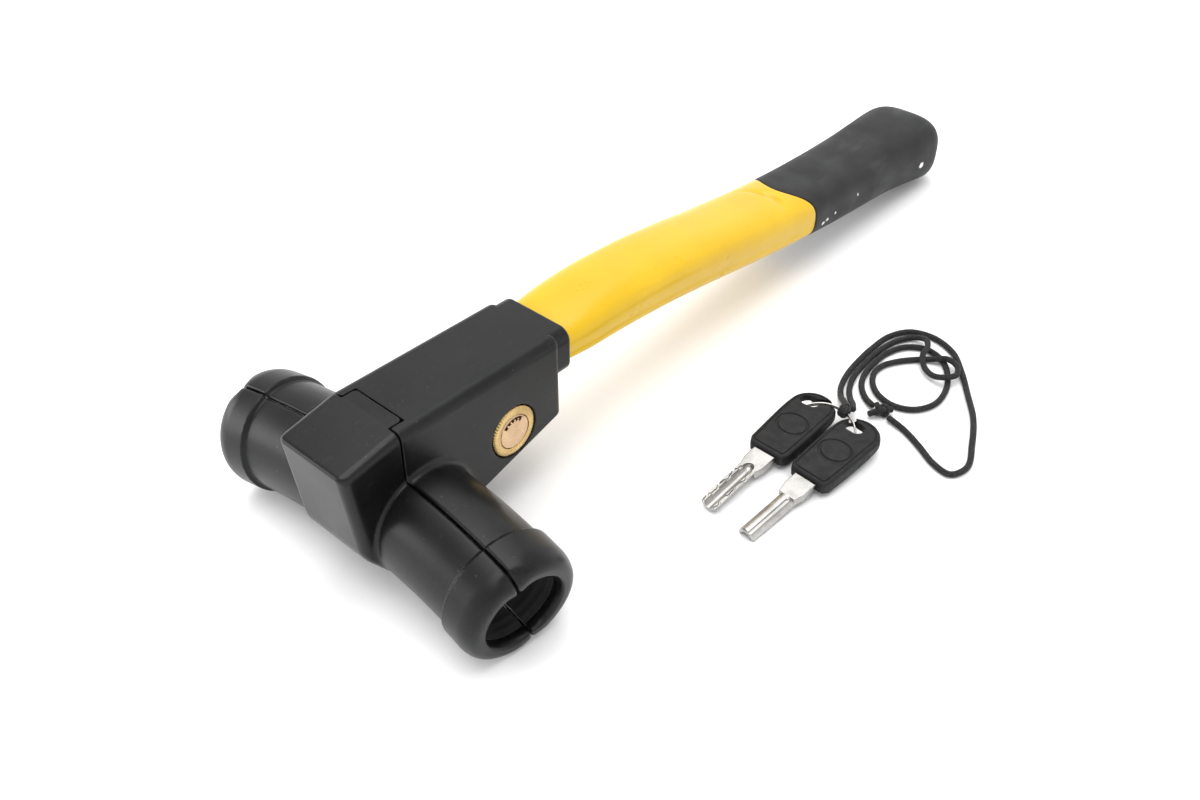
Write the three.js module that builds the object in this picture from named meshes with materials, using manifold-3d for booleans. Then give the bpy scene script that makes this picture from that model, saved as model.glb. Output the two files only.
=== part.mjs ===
// A hammer-shaped steering-wheel clamp lock lying on a flat surface, with its two keys, split
// ring and lanyard beside it. Units are millimetres and +Z is up. The lock is modelled in its own
// frame, whose origin is the centre of the clamp tube, with X along the tube and +Y towards the
// handle's end; it is then leant back until the cuffs and the handle's end share one surface.

import * as THREE from 'three';
import { mergeVertices } from 'three/addons/utils/BufferGeometryUtils.js';
import Module from 'manifold-3d';

const wasm = await Module();
wasm.setup();

// ---------- driving dimensions ----------

const FIT_GAP = 0.3;          // between neighbouring pieces that don't move
const RUN_GAP = 0.05;         // radial, between a pin or plug and its bore

const TUBE_BEND_RADIUS = 313; // the clamp tube follows the rim of a steering wheel
const TUBE_BEND_TILT = 48.6;  // degrees below the front in which the bend's centre lies
const SEAM_TILT = 14.4;       // degrees by which the split between the jaws leans forward
const SEAM_GAP = 0.25;        // half the slit between the two jaws
const TUBE_RADIUS = 18.6;
const CUFF_RADIUS = 19.9;
const CUFF_START = 47.8;      // along the tube from its centre
const COVER_END = 62.4;
const STEEL_OUTER = 16.3;
const STEEL_INNER = 14.6;
const STEEL_END = 58.3;
const STEEL_SPLIT_GAP = 0.5;  // half the slit between the steel shells
const LINER_INNER = 13.3;
const RIM_RADIUS = 13.2;      // the hole in each cuff's lip
const COVER_INNER = STEEL_OUTER + FIT_GAP;

const BODY_HALF_WIDTH = 15.6;
const BODY_FRONT = -4.8;
const BELLY_REAR = 59.6;
const COLLAR_REAR = 65.4;
const COLLAR_BOTTOM = 17.8;
const TOP_AT_FRONT = 35.6;
const TOP_RADIUS = 3.4;       // the body's long upper edges
const LOW_RADIUS = 1.4;
const TOP_FALL = 0.021;       // fall of the body's top per millimetre towards the handle
const BELLY_SLOPE = 0.27;     // rise of the body's underside per millimetre
const BELLY_AT_CYLINDER = -2.2;
const WALL = 2.4;

const BLOCK_REAR = -5.2;
const TAB_FRONT = BLOCK_REAR - 0.4;
const BLOCK_TOP_SLOPE = 0.19; // fall of the jaw block's top per millimetre towards the front
const BLOCK_FACE_SLOPE = 0.11;
const BLOCK_FACE = -23.2;     // front of the block, low down
const BLOCK_CORNER_RADIUS = 3.5;
const BLOCK_BOTTOM = -19.2;
const TAB_HALF_WIDTH = 10.5;
const TAB_REAR = 0;
const TAB_DEPTH = 4.6;
const TAB_SWING_ROOM = 0.8;   // the tab dips this far as the jaw opens

const HINGE_OFFSET = 19.9;    // hinge axis from the tube's axis, along the split's lower edge
const HINGE_PIN_RADIUS = 1.5;
const HINGE_BARREL_RADIUS = 3.3;
const HINGE_HALF_WIDTH = 13.5;
const HINGE_MIDDLE = 6.8;

const HASP_INNER = 44.6;      // toothed arc, about the hinge axis
const HASP_OUTER = 48.4;
const HASP_HALF_WIDTH = 7;
const HASP_FRONT_ANGLE = -24; // degrees from straight above the hinge axis
const HASP_REAR_ANGLE = 24;
const TOOTH_COUNT = 6;
const TOOTH_DEPTH = 1.5;
const TOOTH_PITCH = 3.6;      // degrees
const LAST_TOOTH_ANGLE = 23.8;

const PLATE_INNER = 10.9;     // side plates of the frame, from the middle plane
const PLATE_OUTER = 12.9;
const FRAME_PIN_RADIUS = 1.5; // pins and screws that hold the frame together
const FRAME_SCREW_END = 6.3;

const LOCK_Y = 38.3;          // axis of the key cylinder, along X
const LOCK_Z = 9.4;
const RING_RADIUS = 9.2;
const CYLINDER_RADIUS = 8;
const KEYWAY_OFFSET = { y: -0.5, z: 1.3 };
const PLUG_RADIUS = 6;
const CYLINDER_INNER_END = -6;
const PLUG_FACE = 15.9;
const TAIL_RADIUS = 2;
const CAM_RADIUS = 4.6;
const CAM_OFFSET = 1.8;

const PAWL_Y = 27.5;          // pawl's pivot
const PAWL_Z = 15.5;
const PIVOT_RADIUS = 1.5;

const ROD_RADIUS = 5.5;       // steel rod inside the handle
const ROD_FRONT = 41;
const ROD_END = 288;
const HANDLE_PIN_RADIUS = 1.6;
const HANDLE_PIN_Y = 48.9;
const SLEEVE_FRONT = 60.2;
const GRIP_START = 204;       // where the rubber grip meets the yellow sleeve, at the sides
const GRIP_WALL = 2.4;
const HANDLE_END = 298.5;
const NECK_END = 290;         // the sleeve's neck inside the grip ends here

const LEAN = 2.89;            // degrees by which the lock leans back on the surface

const KEY_BLADE_RADIUS = 3.2; // a key's blade is half a pipe
const KEY_BLADE_WALL = 1.4;
const KEY_BLADE_LENGTH = 30;
const KEY_BOW_LENGTH = 34;
const KEY_BOW_HALF_WIDTH = 8.6;
const KEY_JUNCTION_HEIGHT = 4; // of the key's middle plane, where blade and bow meet
const KEY_PITCH = 3.8;        // degrees by which the keys lean on the ring
const KEY_HOLE_X = -2.5;
const KEY_HOLE_Y = 28.5;

const SPLIT_RING_RADIUS = 12.5;
const SPLIT_RING_WIRE = 0.8;
const SPLIT_RING_TILT = 14;
const KEY_RING_GAP = 0.9;      // round the split ring where it passes a key

const HITCH_ANGLE = 11;       // where the lanyard is hitched, round the ring from its top

const CORD_RADIUS = 1.1;
const CORD_STEP = 5.6;

// ---------- materials ----------

function material(color, roughness, metalness) {
  return new THREE.MeshStandardMaterial({ color, roughness, metalness });
}

const blackPlastic = material(0x1b1b1c, 0.45, 0);
const yellowPlastic = material(0xf2c81e, 0.28, 0);
const blackRubber = material(0x2a2a2b, 0.75, 0);
const linerRubber = material(0x141414, 0.9, 0);
const steel = material(0x8d9094, 0.4, 1);
const brass = material(0xc9a45c, 0.35, 1);
const nickel = material(0xbfbdb8, 0.25, 1);
const keyPlastic = material(0x2b2b2d, 0.55, 0);
const cordFabric = material(0x121212, 0.85, 0);

// ---------- general shape functions ----------

const X_AXIS = new THREE.Vector3(1, 0, 0);
const Y_AXIS = new THREE.Vector3(0, 1, 0);
const Z_AXIS = new THREE.Vector3(0, 0, 1);
const radians = THREE.MathUtils.degToRad;

function point2(x, y) {
  return new THREE.Vector2(x, y);
}

function point3(x, y, z) {
  return new THREE.Vector3(x, y, z);
}

// A closed triangle mesh becomes a solid that can be cut and joined.
function solid(geometry) {
  const plain = geometry.clone();
  plain.deleteAttribute('normal');
  plain.deleteAttribute('uv');
  const merged = mergeVertices(plain, 1e-4);
  return new wasm.Manifold(new wasm.Mesh({
    numProp: 3,
    vertProperties: new Float32Array(merged.attributes.position.array),
    triVerts: new Uint32Array(merged.index.array),
  }));
}

function geometryOf(cutSolid) {
  const data = cutSolid.getMesh();
  const geometry = new THREE.BufferGeometry();
  geometry.setAttribute('position', new THREE.BufferAttribute(data.vertProperties, 3));
  geometry.setIndex(new THREE.BufferAttribute(data.triVerts, 1));
  geometry.computeVertexNormals();
  return geometry;
}

function join(...solids) {
  return solids.reduce((whole, next) => whole.add(next));
}

function cut(whole, ...cutters) {
  return cutters.reduce((rest, next) => rest.subtract(next), whole);
}

function piece(name, shape, look) {
  const geometry = shape instanceof wasm.Manifold ? geometryOf(shape) : shape;
  const mesh = new THREE.Mesh(geometry, look);
  mesh.name = name;
  return mesh;
}

// Skins a row of rings that have the same number of points, and closes both ends.
function loft(rings, firstOutline, lastOutline = firstOutline) {
  const count = rings[0].length;
  const index = [];
  for (let ring = 0; ring + 1 < rings.length; ring += 1) {
    for (let side = 0; side < count; side += 1) {
      const here = ring * count + side;
      const beside = ring * count + ((side + 1) % count);
      index.push(here, beside, beside + count, here, beside + count, here + count);
    }
  }
  const last = (rings.length - 1) * count;
  const turn = Math.sign(THREE.ShapeUtils.area(firstOutline));
  for (const face of THREE.ShapeUtils.triangulateShape(firstOutline, [])) {
    const [a, b, c] = sameTurn(face, firstOutline, turn);
    index.push(a, c, b);
  }
  for (const face of THREE.ShapeUtils.triangulateShape(lastOutline, [])) {
    const [a, b, c] = sameTurn(face, lastOutline, turn);
    index.push(last + a, last + b, last + c);
  }
  const positions = rings.flat().flatMap((p) => [p.x, p.y, p.z]);
  const geometry = new THREE.BufferGeometry();
  geometry.setAttribute('position', new THREE.Float32BufferAttribute(positions, 3));
  geometry.setIndex(index);
  return outward(geometry);
}

function sameTurn([a, b, c], outline, turn) {
  const area = THREE.ShapeUtils.area([outline[a], outline[b], outline[c]]);
  return area * turn < 0 ? [a, c, b] : [a, b, c];
}

// Turns every face round if the closed mesh is inside out.
function outward(geometry) {
  const at = geometry.attributes.position;
  const index = geometry.index.array;
  const [a, b, c] = [point3(), point3(), point3()];
  let volume = 0;
  for (let i = 0; i < index.length; i += 3) {
    a.fromBufferAttribute(at, index[i]);
    b.fromBufferAttribute(at, index[i + 1]);
    c.fromBufferAttribute(at, index[i + 2]);
    volume += a.dot(b.cross(c));
  }
  if (volume < 0) {
    for (let i = 0; i < index.length; i += 3) {
      [index[i + 1], index[i + 2]] = [index[i + 2], index[i + 1]];
    }
  }
  return geometry;
}

// A prism along X from an outline in (y, z).
function prismX(outline, from, to) {
  const shape = new THREE.Shape(outline);
  const geometry = new THREE.ExtrudeGeometry(shape, { depth: to - from, bevelEnabled: false });
  geometry.applyMatrix4(new THREE.Matrix4().makeBasis(Y_AXIS, Z_AXIS, X_AXIS));
  return geometry.translate(from, 0, 0);
}

// A prism along Z from an outline in (x, y).
function prismZ(outline, from, to) {
  const shape = new THREE.Shape(outline);
  const geometry = new THREE.ExtrudeGeometry(shape, { depth: to - from, bevelEnabled: false });
  return geometry.translate(0, 0, from);
}

function box(x0, x1, y0, y1, z0, z1) {
  return new THREE.BoxGeometry(x1 - x0, y1 - y0, z1 - z0)
    .translate((x0 + x1) / 2, (y0 + y1) / 2, (z0 + z1) / 2);
}

// A round bar along X.
function barX(radius, x0, x1, y, z, sides = 24) {
  return new THREE.CylinderGeometry(radius, radius, x1 - x0, sides)
    .rotateZ(-Math.PI / 2)
    .translate((x0 + x1) / 2, y, z);
}

// A round bar along Z.
function barZ(radius, x, y, z0, z1, sides = 20) {
  return new THREE.CylinderGeometry(radius, radius, z1 - z0, sides)
    .rotateX(Math.PI / 2)
    .translate(x, y, (z0 + z1) / 2);
}

// A ring about an axis along X, from a radius and length.
function ringX(inner, outer, x0, x1, y, z, sides = 32) {
  const profile = [
    point2(inner, x0), point2(outer, x0), point2(outer, x1), point2(inner, x1), point2(inner, x0),
  ];
  return new THREE.LatheGeometry(profile, sides).rotateZ(-Math.PI / 2).translate(0, y, z);
}

// The corner arcs of a rounded rectangle, counter-clockwise from its lower right corner.
function roundedRectangle(left, right, bottom, top, lowRadius, topRadius, steps = 5) {
  const corners = [
    [right - lowRadius, bottom + lowRadius, lowRadius, -90],
    [right - topRadius, top - topRadius, topRadius, 0],
    [left + topRadius, top - topRadius, topRadius, 90],
    [left + lowRadius, bottom + lowRadius, lowRadius, 180],
  ];
  return corners.flatMap(([x, y, radius, start]) => arc(x, y, radius, start, start + 90, steps));
}

function arc(x, y, radius, startDegrees, endDegrees, steps) {
  const points = [];
  for (let i = 0; i <= steps; i += 1) {
    const angle = radians(startDegrees + ((endDegrees - startDegrees) * i) / steps);
    points.push(point2(x + radius * Math.cos(angle), y + radius * Math.sin(angle)));
  }
  return points;
}

// ---------- the clamp tube's own coordinates ----------
// s runs along the bent axis, u across the split towards the handle, v up along the split.

const BEND = point3(0, -Math.cos(radians(TUBE_BEND_TILT)), -Math.sin(radians(TUBE_BEND_TILT)));
const BEND_AXIS = X_AXIS.clone().cross(BEND);
const ACROSS = point3(0, Math.cos(radians(SEAM_TILT)), Math.sin(radians(SEAM_TILT)));
const ALONG_SEAM = point3(0, -Math.sin(radians(SEAM_TILT)), Math.cos(radians(SEAM_TILT)));

function tubePoint(s, u, v) {
  const angle = s / TUBE_BEND_RADIUS;
  const centre = X_AXIS.clone().multiplyScalar(TUBE_BEND_RADIUS * Math.sin(angle))
    .addScaledVector(BEND, TUBE_BEND_RADIUS * (1 - Math.cos(angle)));
  const offset = ACROSS.clone().multiplyScalar(u).addScaledVector(ALONG_SEAM, v);
  return centre.add(offset.applyAxisAngle(BEND_AXIS, angle));
}

function tubeLoft(stations, outlineAt) {
  const rings = stations.map((s) => outlineAt(s).map((p) => tubePoint(s, p.x, p.y)));
  return loft(rings, outlineAt(stations[0]), outlineAt(stations[stations.length - 1]));
}

// Stations along the whole tube from the ones on its right half.
function bothWays(stations) {
  return [...stations.map((s) => -s).reverse(), ...stations];
}

// The radius at s, read from a list of [s, radius] pairs.
function radiusAt(pairs, s) {
  const distance = Math.abs(s);
  const next = pairs.findIndex(([at]) => at >= distance);
  if (next < 0) return pairs[pairs.length - 1][1];
  if (next === 0) return pairs[0][1];
  const [s0, r0] = pairs[next - 1];
  const [s1, r1] = pairs[next];
  return r0 + ((r1 - r0) * (distance - s0)) / (s1 - s0);
}

const COVER_RADII = [
  [4, TUBE_RADIUS], [18, TUBE_RADIUS], [33, TUBE_RADIUS], [CUFF_START, TUBE_RADIUS],
  [CUFF_START + 0.5, CUFF_RADIUS - 0.3], [CUFF_START + 1.5, CUFF_RADIUS], [55, CUFF_RADIUS],
  [58.5, CUFF_RADIUS - 0.5], [60.8, CUFF_RADIUS - 1.5], [COVER_END, CUFF_RADIUS - 3.4],
];
const BORE_RADII = [
  [4, COVER_INNER], [22, COVER_INNER], [40, COVER_INNER], [STEEL_END + FIT_GAP, COVER_INNER],
  [STEEL_END + FIT_GAP + 0.2, RIM_RADIUS], [COVER_END + 2, RIM_RADIUS + 0.6],
];

function roundTube(pairs, sides = 32) {
  const stations = bothWays(pairs.map(([s]) => s));
  return solid(tubeLoft(stations, (s) => arc(0, 0, radiusAt(pairs, s), 0, 360, sides).slice(1)));
}

// Everything on one side of the split, out to a distance beyond the cuffs.
function sideOfSplit(side, gap) {
  const reach = 45;
  const outline = [
    point2(side * gap, -reach), point2(side * reach, -reach),
    point2(side * reach, reach), point2(side * gap, reach),
  ];
  return solid(tubeLoft(bothWays([5, 25, 45, 70]), () => outline));
}

// Small V grooves along the lower edge of the split, which let the jaws swing past each other.
function splitGroove() {
  const depth = 1.7;
  const outline = (s) => {
    const edge = -radiusAt(COVER_RADII, s) - 0.2;
    return [
      point2(0, edge + depth), point2(-depth, edge), point2(0, edge - depth), point2(depth, edge),
    ];
  };
  return solid(tubeLoft(bothWays(COVER_RADII.map(([s]) => s)), outline));
}

// A half ring swept along the tube, such as a steel jaw or its liner.
function halfShell(side, inner, outer, gap, end) {
  const steps = 14;
  const halfTurn = (radius) => THREE.MathUtils.radToDeg(Math.acos(gap / radius));
  const outline = [
    ...arc(0, 0, outer, -halfTurn(outer), halfTurn(outer), steps),
    ...arc(0, 0, inner, halfTurn(inner), -halfTurn(inner), steps),
  ].map((p) => point2(side * p.x, p.y));
  return solid(tubeLoft(bothWays([5, 19, 33, 46, end]), () => outline));
}

const HINGE = ALONG_SEAM.clone().multiplyScalar(-HINGE_OFFSET);

// The line of the split in the middle of the tube, as y at a height z.
function splitY(z, gap) {
  return -z * Math.tan(radians(SEAM_TILT)) + gap / Math.cos(radians(SEAM_TILT));
}

// ---------- body housing ----------

function topAt(y) {
  return TOP_AT_FRONT - TOP_FALL * (y - BODY_FRONT);
}

function bellyAt(y) {
  return BELLY_AT_CYLINDER + BELLY_SLOPE * (y - LOCK_Y);
}

// Rounded sections stacked along Y; inset shrinks each one, as at a rounded end.
function bodyLoft(stations, bottomAt, topOf, lowRadius, topRadius, shrink = 0) {
  const outlineAt = ([y, inset]) => roundedRectangle(
    -BODY_HALF_WIDTH + shrink + inset, BODY_HALF_WIDTH - shrink - inset,
    bottomAt(y) + shrink + inset, topOf(y) - shrink - inset, lowRadius, topRadius,
  );
  const rings = stations.map((station) => (
    outlineAt(station).map((p) => point3(p.x, station[0], p.y))
  ));
  return solid(loft(rings, outlineAt(stations[0]), outlineAt(stations[stations.length - 1])));
}

const tubeOuter = roundTube(COVER_RADII);
const tubeBore = roundTube(BORE_RADII);
const groove = splitGroove();
const barrelRoom = solid(barX(
  HINGE_BARREL_RADIUS + 0.5, -HINGE_HALF_WIDTH - 0.4, HINGE_HALF_WIDTH + 0.4, HINGE.y, HINGE.z, 20,
)).add(hingeChannel());

// Room in the covers for the webs that carry the hinge barrels.
function hingeChannel() {
  const outline = [[5.6, -15], [5, -17], [3, -HINGE_OFFSET]].map(([u, v]) => acrossTube(u, v));
  const mirrored = [[-3, -HINGE_OFFSET], [-5, -17], [-5.6, -15]].map(([u, v]) => acrossTube(u, v));
  return solid(prismX(
    [...outline, ...mirrored], -HINGE_HALF_WIDTH - 0.4, HINGE_HALF_WIDTH + 0.4,
  ));
}

// The place (y, z) in the tube's middle section at u across the split and v along it.
function acrossTube(u, v) {
  const place = tubePoint(0, u, v);
  return point2(place.y, place.z);
}

function baseOpening(margin) {
  const outline = roundedRectangle(
    -10 - margin, 10 + margin, -18.5 - margin, 18.5 + margin, 2, 2, 3,
  );
  return prismZ(outline, -0.1, WALL + 3);
}

// Places a piece that lies along the body's sloping underside.
function onUnderside(geometry, depth) {
  return geometry.translate(0, 0, depth)
    .rotateX(Math.atan(BELLY_SLOPE))
    .translate(0, LOCK_Y - 1.5, bellyAt(LOCK_Y - 1.5));
}

function bodyHousing() {
  const main = bodyLoft(
    [[BODY_FRONT, 0], [57.8, 0], [59, 0.5], [BELLY_REAR, 1.6]], bellyAt, topAt, LOW_RADIUS, TOP_RADIUS,
  );
  const collar = bodyLoft(
    [[50, 0], [64.6, 0], [65.2, 0.3], [COLLAR_REAR, 0.8]], () => COLLAR_BOTTOM, topAt, 4, TOP_RADIUS,
  );
  const rearArms = tubeOuter.intersect(sideOfSplit(1, SEAM_GAP));
  const belowSplit = solid(prismX([
    point2(-60, 18.2), point2(splitY(18.2, SEAM_GAP), 18.2), point2(splitY(-40, SEAM_GAP), -40),
    point2(-60, -40),
  ], -20, 20));
  const inside = bodyLoft(
    [[BODY_FRONT + WALL, 0], [BELLY_REAR - WALL, 0]], bellyAt, topAt, 1.2, 2.6, WALL,
  );
  const tabNotch = solid(box(
    -TAB_HALF_WIDTH - 0.35, TAB_HALF_WIDTH + 0.35, -8, TAB_REAR + 0.35,
    TOP_AT_FRONT - TAB_DEPTH - FIT_GAP - TAB_SWING_ROOM, TOP_AT_FRONT + 3,
  ));
  const haspSlot = solid(box(
    -HASP_HALF_WIDTH - 0.6, HASP_HALF_WIDTH + 0.6, -9, BODY_FRONT + WALL + 0.4, 22.8, 31,
  ));
  const rodHole = rodSolid(ROD_RADIUS + FIT_GAP, 50, 80);
  const socket = handleCutter(FIT_GAP).intersect(solid(box(-20, 20, 55, 80, 0, 50)));
  const cylinderHole = solid(barX(RING_RADIUS + 0.2, 5, 20, LOCK_Y, LOCK_Z, 32));
  const base = solid(onUnderside(baseOpening(FIT_GAP), 0));
  return cut(
    join(cut(join(main, collar), belowSplit), rearArms), inside, tubeBore, tabNotch, haspSlot,
    socket, rodHole, cylinderHole, base, groove, barrelRoom,
  );
}

// Across the body, along its underside, and the length.
const BASE_SCREWS = [[-6, -14.6, 13], [6, -14.6, 13], [-6, 14.6, 10], [6, 14.6, 10]];

function baseCover() {
  const plate = solid(onUnderside(baseOpening(0), 0));
  const slab = solid(onUnderside(prismZ(
    roundedRectangle(-12, 12, -22, 22, 2, 2, 3), 0.05, 2.1,
  ), 0));
  const holes = BASE_SCREWS.map((place) => solid(onUnderside(screw(...place, FIT_GAP), 0)));
  return cut(plate.intersect(slab), ...holes);
}

// A countersunk screw along the underside's own upward direction.
function screw(x, y, length, extra) {
  const profile = [
    point2(0, -extra), point2(2.7 + extra, -extra), point2(2.7 + extra, 0.5),
    point2(1.3 + extra, 1.9 + extra), point2(1.3 + extra, length + extra),
    point2(0, length + extra),
  ];
  return new THREE.LatheGeometry(profile, 14).rotateX(Math.PI / 2).translate(x, y, 0.15);
}

// ---------- front jaw ----------

function blockOutside() {
  const topOf = (y) => TOP_AT_FRONT + BLOCK_TOP_SLOPE * (y - BLOCK_REAR);
  const tunnel = bodyLoft(
    [[-32, 0], [BLOCK_REAR, 0]], () => BLOCK_BOTTOM, topOf, 5, TOP_RADIUS,
  );
  // Below its face the block slopes back and ends just outside the tube.
  const chin = [
    point2(-40, 60), point2(10, 60), point2(10, BLOCK_BOTTOM), point2(-9.9, BLOCK_BOTTOM),
    point2(BLOCK_FACE, -2.1), point2(-40, -2.1),
  ];
  const cornerX = BODY_HALF_WIDTH - BLOCK_CORNER_RADIUS;
  const cornerY = BLOCK_FACE + BLOCK_CORNER_RADIUS;
  const plan = prismZ([
    point2(BODY_HALF_WIDTH, 12),
    ...arc(cornerX, cornerY, BLOCK_CORNER_RADIUS, 0, -90, 5),
    ...arc(-cornerX, cornerY, BLOCK_CORNER_RADIUS, -90, -180, 5),
    point2(-BODY_HALF_WIDTH, 12),
  ], -40, 60);
  const leaning = new THREE.Matrix4().set(
    1, 0, 0, 0,
    0, 1, -BLOCK_FACE_SLOPE, 2 * BLOCK_FACE_SLOPE,
    0, 0, 1, 0,
    0, 0, 0, 1,
  );
  plan.applyMatrix4(leaning);
  return tunnel.intersect(solid(prismX(chin, -20, 20))).intersect(solid(plan));
}

function frontJawCover() {
  const tab = bodyLoft([[TAB_FRONT, 0], [TAB_REAR, 0]], () => 0, topAt, 5, TOP_RADIUS).intersect(solid(box(
    -TAB_HALF_WIDTH, TAB_HALF_WIDTH, TAB_FRONT - 1, TAB_REAR, TOP_AT_FRONT - TAB_DEPTH, TOP_AT_FRONT + 2,
  )));
  const behind = solid(prismX([
    point2(60, 60), point2(BLOCK_REAR, 60), point2(BLOCK_REAR, 18.4),
    point2(splitY(18, -SEAM_GAP), 18.0), point2(splitY(-40, -SEAM_GAP), -40), point2(60, -40),
  ], -40, 40));
  const frontArms = tubeOuter.intersect(sideOfSplit(-1, SEAM_GAP));
  const room = solid(box(-12.6, 12.6, -21.5, -8.4, 8, 28));
  const haspSlot = solid(box(-HASP_HALF_WIDTH - 0.6, HASP_HALF_WIDTH + 0.6, -9, 2, 22.8, 28.6));
  return cut(
    join(blockOutside().subtract(behind), tab, frontArms), tubeBore, room, haspSlot, groove,
    barrelRoom,
  );
}

// ---------- steel jaws, hinge and hasp ----------

function barrel(x0, x1) {
  const round = solid(barX(HINGE_BARREL_RADIUS, x0, x1, HINGE.y, HINGE.z, 24));
  return round.subtract(solid(barX(
    HINGE_PIN_RADIUS + RUN_GAP + 0.02, x0 - 1, x1 + 1, HINGE.y, HINGE.z, 24,
  )));
}

// A web that ties a hinge barrel to its jaw; side is +1 for the rear jaw.
function barrelWeb(side, x0, x1) {
  const across = (u, v) => acrossTube(side * u, v);
  const outline = [
    across(0.4, -STEEL_INNER - 0.3), across(5, -STEEL_INNER - 0.3),
    across(4.6, -16.4), across(2.4, -HINGE_OFFSET - 1.2), across(1.6, -HINGE_OFFSET),
    across(1.6, -17.9), across(0.4, -17),
  ];
  return solid(prismX(outline, x0, x1));
}

function rearJawSteel() {
  const shell = halfShell(1, STEEL_INNER, STEEL_OUTER, STEEL_SPLIT_GAP, STEEL_END);
  const outer = [[-HINGE_HALF_WIDTH, -HINGE_MIDDLE - 0.3], [HINGE_MIDDLE + 0.3, HINGE_HALF_WIDTH]];
  const middleRoom = solid(barX(
    HINGE_BARREL_RADIUS + 0.4, -HINGE_MIDDLE - 0.3, HINGE_MIDDLE + 0.3, HINGE.y, HINGE.z, 20,
  ));
  const parts = outer.flatMap(([x0, x1]) => [barrel(x0, x1), barrelWeb(1, x0, x1)]);
  return cut(join(shell, ...parts), middleRoom);
}

function frontJawSteel() {
  const shell = halfShell(-1, STEEL_INNER, STEEL_OUTER, STEEL_SPLIT_GAP, STEEL_END);
  const sideRooms = [[-20, -HINGE_MIDDLE], [HINGE_MIDDLE, 20]].map(([x0, x1]) => (
    solid(barX(HINGE_BARREL_RADIUS + 0.4, x0, x1, HINGE.y, HINGE.z, 20))
  ));
  return cut(
    join(shell, barrel(-HINGE_MIDDLE, HINGE_MIDDLE), barrelWeb(-1, -HINGE_MIDDLE, HINGE_MIDDLE)),
    ...sideRooms,
  );
}

function jawLiner(side) {
  return halfShell(side, LINER_INNER, STEEL_INNER - FIT_GAP, STEEL_SPLIT_GAP + 0.1, STEEL_END);
}

function jawHingePin() {
  return barX(HINGE_PIN_RADIUS, -HINGE_HALF_WIDTH, HINGE_HALF_WIDTH, HINGE.y, HINGE.z);
}

// A point on the hasp's circle about the hinge axis, in (y, z).
function onHasp(radius, degrees) {
  return point2(
    HINGE.y + radius * Math.sin(radians(degrees)), HINGE.z + radius * Math.cos(radians(degrees)),
  );
}

function hasp() {
  const outline = [];
  for (let degrees = HASP_FRONT_ANGLE; degrees <= HASP_REAR_ANGLE; degrees += 4) {
    outline.push(onHasp(HASP_OUTER, degrees));
  }
  outline.push(onHasp(HASP_INNER + 2.2, HASP_REAR_ANGLE + 1.5));
  let degrees = LAST_TOOTH_ANGLE;
  for (let tooth = 0; tooth < TOOTH_COUNT; tooth += 1) {
    outline.push(onHasp(HASP_INNER, degrees));
    outline.push(onHasp(HASP_INNER + TOOTH_DEPTH, degrees - TOOTH_PITCH * 0.25));
    degrees -= TOOTH_PITCH;
  }
  while (degrees > HASP_FRONT_ANGLE + 5) {
    outline.push(onHasp(HASP_INNER, degrees));
    degrees -= 4;
  }
  outline.push(point2(-12.2, 24.2), point2(-12.2, 9), point2(-16, 9), point2(-16, 20.5));
  const bar = solid(prismX(outline, -HASP_HALF_WIDTH, HASP_HALF_WIDTH));
  return bar.subtract(solid(barX(STEEL_OUTER + FIT_GAP, -20, 20, 0, 0, 64)));
}

// ---------- frame ----------

function platePlan() {
  return [
    point2(-1.6, 19.6), point2(-1.6, 28.8), point2(1.5, 28.8), point2(1.5, 29.9),
    point2(56, 28.6), point2(56, 7.2), point2(18.5, -3), point2(17, -3.2),
    ...arc(0, 0, STEEL_OUTER + FIT_GAP + 0.1, -10, 96, 10),
  ];
}

const PLATE_PINS = [[21, 8], [51.5, 11]];
const PLATE_SCREWS = [[43.6, 25.2], [54.2, 25.2]];

function framePlate(side) {
  const [x0, x1] = side > 0 ? [PLATE_INNER, PLATE_OUTER] : [-PLATE_OUTER, -PLATE_INNER];
  const plate = solid(prismX(platePlan(), x0, x1));
  const hole = (radius, y, z) => solid(barX(radius, x0 - 1, x1 + 1, y, z, 20));
  const lockHole = side > 0 ? CYLINDER_RADIUS + 0.3 : TAIL_RADIUS + 0.3;
  return cut(
    plate, hole(lockHole, LOCK_Y, LOCK_Z), hole(PIVOT_RADIUS + FIT_GAP, PAWL_Y, PAWL_Z),
    ...PLATE_PINS.map(([y, z]) => hole(FRAME_PIN_RADIUS + FIT_GAP, y, z)),
    ...PLATE_SCREWS.map(([y, z]) => hole(FRAME_PIN_RADIUS + FIT_GAP, y, z)),
  );
}

function frameScrew(x0, x1, y, z) {
  return barX(FRAME_PIN_RADIUS, x0, x1, y, z, 20);
}

function spacer(y, z, halfY, halfZ) {
  const edge = PLATE_INNER - FIT_GAP;
  const bar = solid(box(-edge, edge, y - halfY, y + halfY, z - halfZ, z + halfZ));
  const pinHole = solid(barX(FRAME_PIN_RADIUS + FIT_GAP, -20, 20, y, z, 20));
  const screwHoles = BASE_SCREWS
    .map((place) => solid(onUnderside(screw(...place, FIT_GAP), 0)));
  return cut(bar, pinHole, ...screwHoles);
}

function handleSocketBlock() {
  const edge = PLATE_INNER - FIT_GAP;
  const block = solid(box(-edge, edge, 40.6, 56.8, 17.8, 30.6));
  const rodHole = rodSolid(ROD_RADIUS + FIT_GAP, 35, 80);
  const pinHole = solid(barZ(HANDLE_PIN_RADIUS + FIT_GAP, 0, HANDLE_PIN_Y, 10, 40));
  const screwHoles = PLATE_SCREWS
    .map(([y, z]) => solid(barX(FRAME_PIN_RADIUS + FIT_GAP, -20, 20, y, z, 20)));
  return cut(block, rodHole, pinHole, ...screwHoles);
}

// ---------- key cylinder, cam and pawl ----------

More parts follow.
